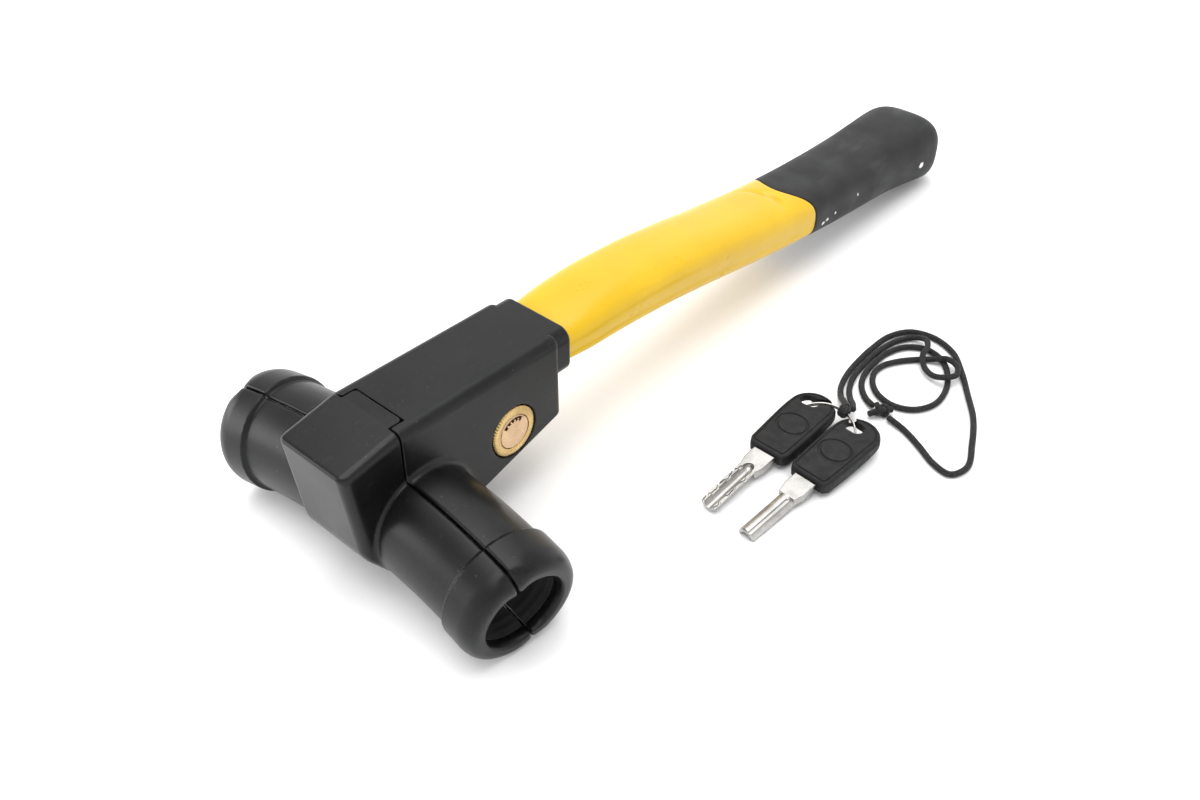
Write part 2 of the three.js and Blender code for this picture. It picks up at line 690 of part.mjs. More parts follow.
function cylinderBody() {
  return ringX(PLUG_RADIUS + RUN_GAP + 0.03, CYLINDER_RADIUS, CYLINDER_INNER_END, 13.1, LOCK_Y, LOCK_Z);
}

function cylinderRing() {
  return ringX(PLUG_RADIUS + RUN_GAP + 0.03, RING_RADIUS, 13.4, 16, LOCK_Y, LOCK_Z, 40);
}

// The curved slot near the plug's upper rim that takes a trough-shaped key blade.
function keyway(clearance, x0, x1) {
  const outline = [
    ...arc(0, 0, 3.9 + clearance, -20, 200, 12),
    ...arc(0, 0, 2.3 - clearance, 200, -20, 12),
  ].map((p) => p.add(point2(LOCK_Y + KEYWAY_OFFSET.y, LOCK_Z + KEYWAY_OFFSET.z)));
  return solid(prismX(outline, x0, x1));
}

function cylinderPlug() {
  const barrelShape = solid(barX(PLUG_RADIUS, CYLINDER_INNER_END, PLUG_FACE, LOCK_Y, LOCK_Z, 32));
  const tail = solid(barX(TAIL_RADIUS, -12.6, CYLINDER_INNER_END + 1, LOCK_Y, LOCK_Z, 16));
  return cut(join(barrelShape, tail), keyway(0.2, -3, 20));
}

function cam() {
  const disc = solid(barX(CAM_RADIUS, -8.9, CYLINDER_INNER_END - FIT_GAP, LOCK_Y - CAM_OFFSET, LOCK_Z));
  return disc.subtract(solid(barX(TAIL_RADIUS + 0.3, -20, 0, LOCK_Y, LOCK_Z, 16)));
}

function camClip() {
  return ringX(TAIL_RADIUS + 0.3, 3.3, -10.2, -9.3, LOCK_Y, LOCK_Z, 18);
}

function pawl() {
  const nose = prismX([
    point2(16, 24), point2(16.6, 19.6), point2(23.4, 18.7), point2(25.6, 13.2),
    point2(28.4, 18.4), point2(22, 21.3), point2(17.4, 22.4), point2(17.2, 24.7),
  ], -6, 6);
  const hub = barX(3.1, -8.9, 6, PAWL_Y, PAWL_Z, 24);
  const tail = prismX([
    point2(26, 17.9), point2(29, 13.3), point2(33.5, 14.7), point2(39.4, 14.7),
    point2(39.4, 16.6), point2(33, 17.2),
  ], -8.9, -6.3);
  const pinHole = solid(barX(PIVOT_RADIUS + RUN_GAP + 0.02, -20, 20, PAWL_Y, PAWL_Z, 24));
  return cut(join(solid(nose), solid(hub), solid(tail)), pinHole);
}

function pawlPin() {
  return barX(PIVOT_RADIUS, -PLATE_OUTER, PLATE_OUTER, PAWL_Y, PAWL_Z, 24);
}

// A compression spring that stands on the front spacer and lifts the pawl's nose.
class Helix extends THREE.Curve {
  constructor(radius, bottom, height, turns) {
    super();
    Object.assign(this, { radius, bottom, height, turns });
  }

  getPoint(t, target = point3()) {
    const angle = t * this.turns * Math.PI * 2;
    return target.set(
      this.radius * Math.cos(angle), this.radius * Math.sin(angle), this.bottom + t * this.height,
    );
  }
}

function pawlSpring() {
  const wire = new THREE.Shape(arc(0, 0, 0.3, 0, 360, 6).slice(1));
  const path = new Helix(1.5, 13.6, 4.4, 4);
  const geometry = new THREE.ExtrudeGeometry(wire, {
    steps: 48, bevelEnabled: false, extrudePath: path,
  });
  return geometry.translate(0, 21, 0);
}

// ---------- handle ----------

// The handle's centre height, half width and half height at distances along the body's +Y.
const HANDLE_STATIONS = [
  [60, 25, 13.7, 6.9], [66, 25.1, 13.9, 7.2], [76, 25.3, 14.9, 8.4], [88, 25.4, 15.2, 8.9],
  [100, 25, 15.4, 9.2], [120, 23.3, 15.5, 9.6], [140, 20.6, 15.5, 9.8], [160, 17.4, 15.6, 9.9],
  [180, 14.5, 15.7, 10], [200, 12.2, 15.8, 10.3], [220, 10.4, 16, 10.7], [240, 9.2, 16.2, 11.1],
  [258, 8.5, 16.5, 11.6], [272, 7.7, 17.1, 12.8], [282, 6.9, 17.8, 13.8],
  [290.5, 6.0, 18.2, 14.55], [295.5, 5.6, 16.8, 13.2], [HANDLE_END, 5.4, 12.6, 9.6],
];

function superellipse(halfWidth, halfHeight, sides) {
  const power = 2 / 3;
  const points = [];
  for (let i = 0; i < sides; i += 1) {
    const angle = (i / sides) * Math.PI * 2;
    const [c, s] = [Math.cos(angle), Math.sin(angle)];
    points.push(point2(
      halfWidth * Math.sign(c) * Math.abs(c) ** power,
      halfHeight * Math.sign(s) * Math.abs(s) ** power,
    ));
  }
  return points;
}

// The handle between two distances, its sections made smaller by an inset.
function handleLoft(from, to, inset, sides = 28) {
  const inner = HANDLE_STATIONS.filter(([y]) => y > from + 1 && y < to - 1);
  const stations = [handleAt(from), ...inner, handleAt(to)];
  const outlines = stations.map(([, , half, height]) => (
    superellipse(half - inset, height - inset, sides)
  ));
  const rings = stations.map(([y, z], i) => outlines[i].map((p) => point3(p.x, y, z + p.y)));
  return solid(loft(rings, outlines[0], outlines[outlines.length - 1]));
}

function handleAt(y) {
  const next = HANDLE_STATIONS.findIndex(([at]) => at >= y);
  const [a, b] = [HANDLE_STATIONS[Math.max(next - 1, 0)], HANDLE_STATIONS[next]];
  const share = a === b ? 0 : (y - a[0]) / (b[0] - a[0]);
  return a.map((value, i) => value + (b[i] - value) * share);
}

function handleCutter(extra) {
  return handleLoft(60, 84, -extra);
}

function rodSolid(radius, from, to) {
  const stations = [[from, 25], ...HANDLE_STATIONS.filter(([y]) => y > from + 3 && y < to - 3)];
  stations.push(handleAt(to));
  const outline = arc(0, 0, radius, 0, 360, 14).slice(1);
  const rings = stations.map(([y, z]) => outline.map((p) => point3(p.x, y, z + p.y)));
  return solid(loft(rings, outline));
}

// Everything beyond the wavy line where the rubber overlaps the yellow sleeve.
function beyondGripLine(offset) {
  const line = [];
  for (let i = 0; i <= 12; i += 1) {
    const x = -20 + (40 * i) / 12;
    line.push(point2(x, GRIP_START + offset - 7.5 * Math.cos((Math.PI * x) / 32)));
  }
  return solid(prismZ([...line, point2(20, 330), point2(-20, 330)], -40, 60));
}

function handleSleeve() {
  const outer = handleLoft(SLEEVE_FRONT, 230, 0);
  const neck = handleLoft(190, NECK_END, GRIP_WALL + FIT_GAP);
  const front = outer.subtract(beyondGripLine(-FIT_GAP));
  return join(front, neck).subtract(rodSolid(ROD_RADIUS + FIT_GAP, 50, ROD_END + FIT_GAP));
}

function handleGrip() {
  const outer = handleLoft(190, HANDLE_END, 0).intersect(beyondGripLine(0));
  return outer.subtract(handleLoft(185, NECK_END + FIT_GAP, GRIP_WALL));
}

function handleRod() {
  const pinHole = solid(barZ(HANDLE_PIN_RADIUS + FIT_GAP, 0, HANDLE_PIN_Y, 10, 40));
  return rodSolid(ROD_RADIUS, ROD_FRONT, ROD_END).subtract(pinHole);
}

function handlePin() {
  return barZ(HANDLE_PIN_RADIUS, 0, HANDLE_PIN_Y, 18, 30.4);
}

// ---------- lock assembly ----------

const lock = new THREE.Group();
lock.add(
  piece('body_housing', bodyHousing(), blackPlastic),
  piece('body_base_cover', baseCover(), blackPlastic),
  ...BASE_SCREWS.map((place, i) => (
    piece(`base_screw_${i + 1}`, onUnderside(screw(...place, 0), 0), steel)
  )),
  piece('rear_jaw_steel', rearJawSteel(), steel),
  piece('rear_jaw_liner', jawLiner(1), linerRubber),
  piece('front_jaw_cover', frontJawCover(), blackPlastic),
  piece('front_jaw_steel', frontJawSteel(), steel),
  piece('front_jaw_liner', jawLiner(-1), linerRubber),
  piece('jaw_hasp', hasp(), steel),
  piece('jaw_hinge_pin', jawHingePin(), steel),
  piece('frame_plate_left', framePlate(-1), steel),
  piece('frame_plate_right', framePlate(1), steel),
  piece('frame_spacer_front', spacer(21, 8, 2.6, 5), steel),
  piece('frame_spacer_rear', spacer(51.5, 11, 3, 3.2), steel),
  ...PLATE_PINS.map(([y, z], i) => (
    piece(`frame_pin_${i + 1}`, frameScrew(-PLATE_OUTER, PLATE_OUTER, y, z), steel)
  )),
  piece('handle_socket_block', handleSocketBlock(), steel),
  ...PLATE_SCREWS.flatMap(([y, z], i) => [
    piece(`frame_screw_left_${i + 1}`, frameScrew(-PLATE_OUTER, -FRAME_SCREW_END, y, z), steel),
    piece(`frame_screw_right_${i + 1}`, frameScrew(FRAME_SCREW_END, PLATE_OUTER, y, z), steel),
  ]),
  piece('cylinder_body', cylinderBody(), brass),
  piece('cylinder_ring', cylinderRing(), brass),
  piece('cylinder_plug', cylinderPlug(), brass),
  piece('lock_cam', cam(), steel),
  piece('cam_clip', camClip(), steel),
  piece('locking_pawl', pawl(), steel),
  piece('pawl_pin', pawlPin(), steel),
  piece('pawl_spring', pawlSpring(), steel),
  piece('handle_rod', handleRod(), steel),
  piece('handle_pin', handlePin(), steel),
  piece('handle_sleeve', handleSleeve(), yellowPlastic),
  piece('handle_grip', handleGrip(), blackRubber),
);
lock.rotation.x = -radians(LEAN);
lock.updateMatrixWorld(true);

// ---------- keys, split ring and lanyard ----------
// These lie on the surface: x and y are the lean lock's, and z is the height above the surface.

const KEYS = [
  { name: 'key_1', x: 66.6, y: 104, turn: -1, faceDown: true },
  { name: 'key_2', x: 84.3, y: 102.5, turn: -4, faceDown: false },
];
const RING_CENTRE = point3(74.2, 123.8, 4.15);

function placedOnKey(geometry, { x, y, turn }) {
  return geometry.rotateX(radians(KEY_PITCH)).rotateZ(radians(turn))
    .translate(x, y, KEY_JUNCTION_HEIGHT);
}

function ring(wire) {
  return new THREE.TorusGeometry(SPLIT_RING_RADIUS, wire, 8, 40)
    .rotateX(radians(SPLIT_RING_TILT))
    .translate(RING_CENTRE.x, RING_CENTRE.y, RING_CENTRE.z);
}

function keyTang(margin) {
  return box(-2.5 - margin, 2.5 + margin, -1, 14 + margin, -0.8 - margin, 0.8 + margin);
}

function keyBow(key) {
  const half = KEY_BOW_HALF_WIDTH;
  const rectangle = solid(prismZ(roundedRectangle(-half, half, 0, KEY_BOW_LENGTH, 2, 8.5), -5, 5));
  // The bow narrows towards the blade, and its corners there are cut off.
  const taper = solid(prismZ([
    point2(-half + 2.6, -1), point2(half - 2.6, -1), point2(half - 0.8, 2.6), point2(half, 18),
    point2(half, 40), point2(-half, 40), point2(-half, 18), point2(-half + 0.8, 2.6),
  ], -5, 5));
  const plan = rectangle.intersect(taper);
  const side = solid(prismX([
    point2(-1, -2), point2(2, -2.7), point2(22, -2.7), point2(28, -2), point2(36, -1.6),
    point2(36, 1.6), point2(28, 2), point2(22, 2.7), point2(2, 2.7), point2(-1, 2),
  ], -20, 20));
  const hole = solid(prismZ(roundedRectangle(
    KEY_HOLE_X - 3.4, KEY_HOLE_X + 3.4, KEY_HOLE_Y - 2.4, KEY_HOLE_Y + 2.4, 2.3, 2.3,
  ), -5, 5));
  const bow = cut(plan.intersect(side), hole, solid(keyTang(FIT_GAP)));
  const placed = solid(placedOnKey(geometryOf(bow), key));
  return placed.subtract(solid(ring(SPLIT_RING_WIRE + KEY_RING_GAP)));
}

function keyBlade(key) {
  const rise = KEY_BLADE_RADIUS / 2;
  const section = [
    ...arc(0, -rise, KEY_BLADE_RADIUS, 0, 180, 12),
    ...arc(0, -rise, KEY_BLADE_RADIUS - KEY_BLADE_WALL, 180, 0, 10),
  ];
  const trough = solid(new THREE.ExtrudeGeometry(new THREE.Shape(section), {
    depth: KEY_BLADE_LENGTH - 6, bevelEnabled: false,
  }).rotateX(Math.PI / 2).translate(0, -6, 0));
  const shoulder = solid(prismZ([
    point2(-3.2, -10), point2(3.2, -10), point2(4.2, -6), point2(4.2, -FIT_GAP),
    point2(-4.2, -FIT_GAP), point2(-4.2, -6),
  ], -rise, rise));
  const blade = geometryOf(join(trough, shoulder, solid(keyTang(0))));
  if (key.faceDown) blade.rotateY(Math.PI);
  return placedOnKey(blade, key);
}

// Each stretch of the lanyard runs from the ring to the knot that closes its loop.
const OUTER_ROUTE = [
  [75.5, 138.9, 6.7], [72.4, 142.2, 4.9], [68.6, 146.4, 2.2], [65.2, 151.6, 1.2],
  [62.9, 159, 1.2], [61.8, 168, 1.2], [61.6, 178, 1.2], [62.8, 187.8, 1.2], [67.4, 194.9, 1.2],
  [75.7, 197.2, 1.2], [85.5, 194.2, 1.2], [93.4, 186.8, 1.2], [101.7, 176.8, 1.2],
  [109.3, 167.2, 1.2], [115.5, 155.5, 1.2], [119.9, 144.2, 1.2], [117.2, 138, 1.2],
  [110.5, 138.9, 1.2], [102, 143.3, 1.2], [94.5, 146.7, 1.2], [87.3, 148.2, 1.7],
];
const INNER_ROUTE = [
  [78, 139.1, 6.7], [75.4, 143.1, 4.9], [71.7, 147.6, 2.2], [68, 152.8, 1.2],
  [65.4, 159.5, 1.2], [64.4, 167.5, 1.2], [64.3, 177, 1.2], [66.4, 187, 1.2], [70.5, 192.2, 1.7],
  [75.2, 191.9, 3.4], [78.4, 187.8, 4], [79.4, 182.8, 3.9], [82.6, 179, 2.4],
  [87.4, 176.8, 2.4], [91.8, 177, 3.8], [94.2, 181, 3.6], [92, 185.4, 3.7],
  [87.4, 186.7, 3.7], [82.2, 185.5, 1.7], [77.4, 182, 1.2], [73, 177, 1.2],
  [70.2, 171.8, 1.2], [69.8, 166.6, 1.2], [72.4, 161, 1.2], [77.4, 156.8, 1.2],
  [84.4, 155.2, 1.2], [91.2, 157.9, 1.2], [95.2, 164.6, 1.2], [94.8, 173, 1.2],
  [90.8, 181.6, 1.2], [84.8, 187.8, 1.2], [77.4, 189.6, 1.2], [70.8, 186, 1.2],
  [67.4, 178.6, 1.2], [66.9, 170, 1.2], [67.9, 162.4, 1.2], [70.6, 156.6, 1.2],
  [75.2, 152.3, 1.2], [79.3, 150.2, 1.7],
];
const KNOT = point3(83.3, 149.2, 2.6);

function cordAlong(route) {
  const path = new THREE.CatmullRomCurve3(route.map((p) => point3(...p)), false, 'centripetal');
  const section = new THREE.Shape(arc(0, 0, CORD_RADIUS, 0, 360, 8).slice(1));
  const steps = Math.round(path.getLength() / CORD_STEP);
  return new THREE.ExtrudeGeometry(section, { steps, bevelEnabled: false, extrudePath: path });
}

function knot() {
  const lump = solid(new THREE.SphereGeometry(1, 16, 10).scale(3.4, 2.7, 2.45));
  const stub = (degrees, length) => solid(
    new THREE.CylinderGeometry(CORD_RADIUS, CORD_RADIUS, length, 8)
      .translate(0, length / 2, 0).rotateZ(radians(degrees)),
  );
  const whole = join(lump, stub(-42, 4.3), stub(150, 5));
  return geometryOf(whole).translate(KNOT.x, KNOT.y, KNOT.z);
}

// The turn of the lanyard that is hitched round the ring.
function hitch() {
  const outer = SPLIT_RING_WIRE + FIT_GAP + 1.2;
  const inner = SPLIT_RING_WIRE + FIT_GAP;
  const half = 1.9;
  const profile = [[inner, -half], [outer, -half], [outer, half], [inner, half], [inner, -half]];
  return new THREE.LatheGeometry(profile.map(([r, h]) => point2(r, h)), 14)
    .rotateZ(Math.PI / 2)
    .translate(0, SPLIT_RING_RADIUS, 0)
    .rotateZ(radians(-HITCH_ANGLE))
    .rotateX(radians(SPLIT_RING_TILT))
    .translate(RING_CENTRE.x, RING_CENTRE.y, RING_CENTRE.z);
}

const keySet = new THREE.Group();
KEYS.forEach((key) => {
  keySet.add(piece(`${key.name}_bow`, keyBow(key), keyPlastic));
  keySet.add(piece(`${key.name}_blade`, keyBlade(key), nickel));
});
keySet.add(piece('split_ring', ring(SPLIT_RING_WIRE), nickel));

const lanyard = new THREE.Group();
lanyard.add(
  piece('lanyard_hitch', hitch(), cordFabric),
  piece('lanyard_cord_outer', cordAlong(OUTER_ROUTE), cordFabric),
  piece('lanyard_cord_inner', cordAlong(INNER_ROUTE), cordFabric),
  piece('lanyard_knot', knot(), cordFabric),
);

// The origin is under the middle of the lock and its keys, on the surface.
const surface = new THREE.Box3().setFromObject(lock, true).min.z;
keySet.position.z = surface;
lanyard.position.z = surface;
const object = new THREE.Group();
object.add(lock, keySet);
const extent = new THREE.Box3().setFromObject(object, true);
const middle = extent.getCenter(point3());
object.add(lanyard);
object.position.set(-middle.x, -middle.y, -extent.min.z);

export default object;
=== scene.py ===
"""A hammer-shaped steering-wheel clamp lock with two keys on a lanyard, on a pale studio floor.

Shapes are worked out in millimetres in the lock's own frame: its origin is the centre of the
clamp tube, X runs along the tube, +Y towards the handle's end and +Z up. The moulded pieces are
distance fields, negative inside, which are cut and joined with rounded edges and then meshed.
"""

import math

import bmesh
import bpy
import numpy as np
from mathutils import Matrix, Vector


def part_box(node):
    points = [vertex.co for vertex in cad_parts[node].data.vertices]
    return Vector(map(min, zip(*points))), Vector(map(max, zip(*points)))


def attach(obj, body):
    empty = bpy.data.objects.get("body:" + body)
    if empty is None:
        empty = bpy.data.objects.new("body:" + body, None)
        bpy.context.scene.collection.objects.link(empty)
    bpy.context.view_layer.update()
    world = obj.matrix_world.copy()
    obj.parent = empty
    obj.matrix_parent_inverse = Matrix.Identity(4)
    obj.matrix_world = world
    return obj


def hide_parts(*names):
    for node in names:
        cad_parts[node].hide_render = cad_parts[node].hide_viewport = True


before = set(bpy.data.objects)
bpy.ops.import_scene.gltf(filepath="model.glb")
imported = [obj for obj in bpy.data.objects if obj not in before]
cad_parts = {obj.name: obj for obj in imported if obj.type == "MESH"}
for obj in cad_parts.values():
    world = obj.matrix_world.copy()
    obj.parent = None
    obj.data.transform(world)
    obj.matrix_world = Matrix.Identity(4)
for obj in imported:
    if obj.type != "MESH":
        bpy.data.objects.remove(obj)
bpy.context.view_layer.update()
MM = 0.001

# ---------- driving dimensions, as in the CAD part ----------

LEAN = math.radians(2.89)      # the lock leans back until cuffs and handle end share the floor
HINGE = (0.0, 4.949, -19.275)  # jaw hinge pin in the lock's frame

# The clamp's tube, bent along X and split in two jaws, with a cuff at each end.
TUBE_BEND_RADIUS = 313.0
TUBE_BEND_TILT = math.radians(48.6)
SEAM_TILT = math.radians(14.4)
SEAM_GAP = 0.25
TUBE_RADIUS = 18.6
CUFF_RADIUS = 19.9
CUFF_START = 47.8
CUFF_RAMP = 1.4               # length of the step up to the cuff
ROUND_START = 56.0            # the cuff's end rounds off from here
ROUND_DROP = 3.9
COVER_END = 62.4
BORE_RADIUS = 16.6
STEEL_END = 58.3
LIP_RADIUS = 13.2
LINER_INNER = 13.3
LINER_OUTER = 14.3

# The body behind the tube and the front jaw's block, which meets it at SPLIT_TOP.
HALF_WIDTH = 15.6
BODY_FRONT = -4.8
TOP_AT_FRONT = 35.6
TOP_FALL = 0.021              # fall of the body's top per mm towards the handle
TOP_RADIUS = 3.4              # the body's long upper edges
LOW_RADIUS = 1.4
BELLY_AT_LOCK = -2.2
BELLY_RISE = 0.27             # rise of the body's underside per mm
BELLY_REAR = 59.6
COLLAR_REAR = 65.4
COLLAR_BOTTOM = 17.8
WALL = 2.4
COVER_Y = 36.8                # middle of the base cover
COVER_HALF_WIDTH = 10.3
COVER_HALF_LENGTH = 18.8
SPLIT_TOP = 18.2
BLOCK_REAR = -5.2
BLOCK_FRONT = 23.2            # forwards from the tube's axis
BLOCK_BOTTOM = -19.2
TAB_HALF_WIDTH = 10.5
TAB_FLOOR = 31.0
HASP_HALF_WIDTH = 7.6         # of the slot for the hasp
HASP_BOTTOM = 22.8

# The key cylinder, along X in the body's right side.
LOCK_Y = 38.3
LOCK_Z = 9.4
RING_RADIUS = 9.2
PLUG_RADIUS = 6.0
PLUG_FACE = 15.9

# The handle: a steel rod in a yellow sleeve, with a rubber grip.
ROD_RADIUS = 5.5
ROD_HEIGHT = 25.0             # where the rod enters the body
SLEEVE_FRONT = 60.2
GRIP_START = 204.0
GRIP_WAVE = 7.5               # the grip's edge is a wave with this amplitude and half length
GRIP_WAVE_LENGTH = 32
GRIP_WALL = 2.4
HANDLE_END = 298.5
TIP_START = 289.0             # the grip's end rounds off from here
NECK_END = 290.0              # the sleeve's neck inside the grip ends here
# Distance along the handle, centre height, half width and half height.
HANDLE_STATIONS = np.array([
    [60, 25, 13.7, 6.9], [66, 25.1, 13.9, 7.2], [76, 25.3, 14.9, 8.4], [88, 25.4, 15.2, 8.9],
    [100, 25, 15.4, 9.2], [120, 23.3, 15.5, 9.6], [140, 20.6, 15.5, 9.8], [160, 17.4, 15.6, 9.9],
    [180, 14.5, 15.7, 10], [200, 12.2, 15.8, 10.3], [220, 10.4, 16, 10.7], [240, 9.2, 16.2, 11.1],
    [258, 8.5, 16.5, 11.6], [272, 7.7, 17.1, 12.8], [282, 6.9, 17.8, 13.8],
    [290.5, 6.0, 18.2, 14.55], [295.5, 5.6, 16.8, 13.2], [298.5, 5.4, 12.6, 9.6],
])
HANDLE_SMOOTHING = 9          # reach of the smoothing along the stations
HANDLE_POWER = 3              # the section's squareness: 2 is an ellipse
HANDLE_SIDES = 144

# Keys, split ring and cord lie on the floor, and are placed in floor coordinates.
KEYS = {
    "key_1": {"x": 66.6, "y": 104.0, "turn": -1.0, "face_down": True},
    "key_2": {"x": 84.3, "y": 102.5, "turn": -4.0, "face_down": False},
}
KEY_HEIGHT = 4.0
KEY_PITCH = 3.8
BLADE_LENGTH = 30
BLADE_RADIUS = 3.2
TROUGH_RADIUS = 1.8
RING_CENTRE = np.array([74.2, 123.8, 4.15])
SPLIT_RING_RADIUS = 12.5
SPLIT_RING_WIRE = 0.8
SPLIT_RING_TILT = math.radians(14)
HITCH_ANGLE = math.radians(11)

CORD_RADIUS = 1.1
OUTER_ROUTE = [
    [75.5, 138.9, 6.7], [72.4, 142.2, 4.9], [68.6, 146.4, 2.2], [65.2, 151.6, 1.2],
    [62.9, 159, 1.2], [61.8, 168, 1.2], [61.6, 178, 1.2], [62.8, 187.8, 1.2], [67.4, 194.9, 1.2],
    [75.7, 197.2, 1.2], [85.5, 194.2, 1.2], [93.4, 186.8, 1.2], [101.7, 176.8, 1.2],
    [109.3, 167.2, 1.2], [115.5, 155.5, 1.2], [119.9, 144.2, 1.2], [117.2, 138, 1.2],
    [110.5, 138.9, 1.2], [102, 143.3, 1.2], [94.5, 146.7, 1.2], [87.3, 148.2, 1.7],
]
INNER_ROUTE = [
    [78, 139.1, 6.7], [75.4, 143.1, 4.9], [71.7, 147.6, 2.2], [68, 152.8, 1.2],
    [65.4, 159.5, 1.2], [64.4, 167.5, 1.2], [64.3, 177, 1.2], [66.4, 187, 1.2],
    [70.5, 192.2, 1.7], [75.2, 191.9, 3.4], [78.4, 187.8, 4], [79.4, 182.8, 3.9],
    [82.6, 179, 2.4], [87.4, 176.8, 2.4], [91.8, 177, 3.8], [94.2, 181, 3.6],
    [92, 185.4, 3.7], [87.4, 186.7, 3.7], [82.2, 185.5, 1.7], [77.4, 182, 1.2],
    [73, 177, 1.2], [70.2, 171.8, 1.2], [69.8, 166.6, 1.2], [72.4, 161, 1.2],
    [77.4, 156.8, 1.2], [84.4, 155.2, 1.2], [91.2, 157.9, 1.2], [95.2, 164.6, 1.2],
    [94.8, 173, 1.2], [90.8, 181.6, 1.2], [84.8, 187.8, 1.2], [77.4, 189.6, 1.2],
    [70.8, 186, 1.2], [67.4, 178.6, 1.2], [66.9, 170, 1.2], [67.9, 162.4, 1.2],
    [70.6, 156.6, 1.2], [75.2, 152.3, 1.2], [79.3, 150.2, 1.7],
]
KNOT = np.array([83.3, 149.2, 2.6])

# ---------- from the lock's frame and the floor to the row frame ----------


def box_centre(node):
    low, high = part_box(node)
    return np.array((low + high) / 2)


def turned(a, b, angle):
    """A pair of coordinates turned by an angle, from the first towards the second."""
    cos, sin = math.cos(angle), math.sin(angle)
    return a * cos - b * sin, a * sin + b * cos


def lean(points):
    """Turns points, or directions, from the lock's frame by its lean."""
    x, y, z = np.moveaxis(np.asarray(points, float), -1, 0)
    return np.stack([x, *turned(y, z, -LEAN)], -1)


ORIGIN = box_centre("jaw_hinge_pin") / MM - lean(HINGE)
FLOOR_ORIGIN = np.array([ORIGIN[0], ORIGIN[1], 0.0])


def from_lock(points):
    """From the lock's frame in mm to the row frame in metres."""
    return (lean(points) + ORIGIN) * MM


def from_floor(points):
    """From floor coordinates in mm, level and below the lock's origin, to the row frame."""
    return (np.asarray(points, float) + FLOOR_ORIGIN) * MM


# ---------- camera ----------


CAMERA_AZIMUTH = math.radians(42.14)
CAMERA_ELEVATION = math.radians(39.49)
CAMERA_PLACE = (0.21949, -0.28648, 0.29718)
CAMERA_LENS = 37.33


def add_camera():
    """A camera turned by azimuth and elevation about the lock's own upright axis."""
    azimuth, elevation = CAMERA_AZIMUTH, CAMERA_ELEVATION
    back = np.array([
        math.sin(azimuth) * math.cos(elevation), -math.cos(azimuth) * math.cos(elevation),
        math.sin(elevation),
    ])
    right = np.array([math.cos(azimuth), math.sin(azimuth), 0.0])
    axes = [lean(right), lean(np.cross(back, right)), lean(back)]
    camera = bpy.data.objects.new("Camera", bpy.data.cameras.new("Camera"))
    camera.data.lens = CAMERA_LENS
    camera.data.sensor_width = 36.0
    camera.data.clip_start, camera.data.clip_end = 0.01, 20.0
    turn = Matrix([list(row) for row in np.array(axes).T]).to_4x4()
    camera.matrix_world = Matrix.Translation(Vector(CAMERA_PLACE)) @ turn
    bpy.context.scene.collection.objects.link(camera)
    bpy.context.scene.camera = camera


add_camera()

# ---------- meshes ----------


def mesh_object(name, points, faces, normals=None):
    """A new mesh object from points in the row frame, in metres."""
    mesh = bpy.data.meshes.new(name)
    mesh.from_pydata([tuple(p) for p in points], [], [tuple(int(i) for i in f) for f in faces])
    mesh.polygons.foreach_set("use_smooth", np.full(len(mesh.polygons), True))
    if normals is not None:
        mesh.normals_split_custom_set_from_vertices([tuple(n) for n in normals])
    mesh.validate()
    piece = bpy.data.objects.new(name, mesh)
    bpy.context.scene.collection.objects.link(piece)
    return piece


def surface_net(field, low, step):
    """Points and quads of the surface where a sampled distance field is zero."""
    shape = np.array(field.shape)
    sums = np.zeros(tuple(shape - 1) + (3,), np.float32)
    counts = np.zeros(tuple(shape - 1), np.int32)
    inside = field < 0
    crossings = []
    for axis in range(3):
        lower = [slice(None)] * 3
        upper = [slice(None)] * 3
        lower[axis], upper[axis] = slice(None, -1), slice(1, None)
        at = np.argwhere(inside[tuple(lower)] != inside[tuple(upper)])
        beyond = at.copy()
        beyond[:, axis] += 1
        here, there = field[tuple(at.T)], field[tuple(beyond.T)]
        place = at.astype(np.float32)
        place[:, axis] += here / (here - there)
        around = []
        for one, two in ((0, 0), (-1, 0), (-1, -1), (0, -1)):
            cell = at.copy()
            cell[:, (axis + 1) % 3] += one
            cell[:, (axis + 2) % 3] += two
            np.add.at(sums, tuple(cell.T), place)
            np.add.at(counts, tuple(cell.T), 1)
            around.append(cell)
        crossings.append((around, here < 0))
    used = np.argwhere(counts > 0)
    number = np.full(counts.shape, -1, np.int64)
    number[tuple(used.T)] = np.arange(len(used))
    points = sums[tuple(used.T)] / counts[tuple(used.T)][:, None]
    quads = []
    for around, outwards in crossings:
        quad = np.stack([number[tuple(cell.T)] for cell in around], 1)
        quad[~outwards] = quad[~outwards][:, ::-1]
        quads.append(quad)
    return points * step + np.asarray(low), np.concatenate(quads)


def slope_of(field, points, reach=0.04):
    """The field's values and its gradient at points."""
    gradient = np.zeros_like(points)
    for axis in range(3):
        offset = np.zeros(3)
        offset[axis] = reach
        ahead = field(*(points + offset).T)
        behind = field(*(points - offset).T)
        gradient[:, axis] = (ahead - behind) / (2 * reach)
    return field(*points.T), gradient


def moulded(name, field, low, high, step, place):
    """Meshes a distance field between two corners, in millimetres, and places it by a function."""
    axes = [np.arange(a - 2 * step, b + 3 * step, step) for a, b in zip(low, high)]
    grid = np.meshgrid(*axes, indexing="ij")
    points, quads = surface_net(field(*grid), [a[0] for a in axes], step)
    for _ in range(3):
        value, gradient = slope_of(field, points)
        steepness = np.maximum((gradient ** 2).sum(1), 0.25)
        move = -(value / steepness)[:, None] * gradient
        length = np.maximum(np.linalg.norm(move, axis=1), 1e-9)
        points = points + move * np.minimum(1, 0.3 * step / length)[:, None]
    gradient = slope_of(field, points)[1]
    normals = gradient / np.maximum(np.linalg.norm(gradient, axis=1), 1e-9)[:, None]
    placed = place(points)
    placed_normals = (place(points + normals) - placed) / MM
    return mesh_object(name, placed, quads, placed_normals)


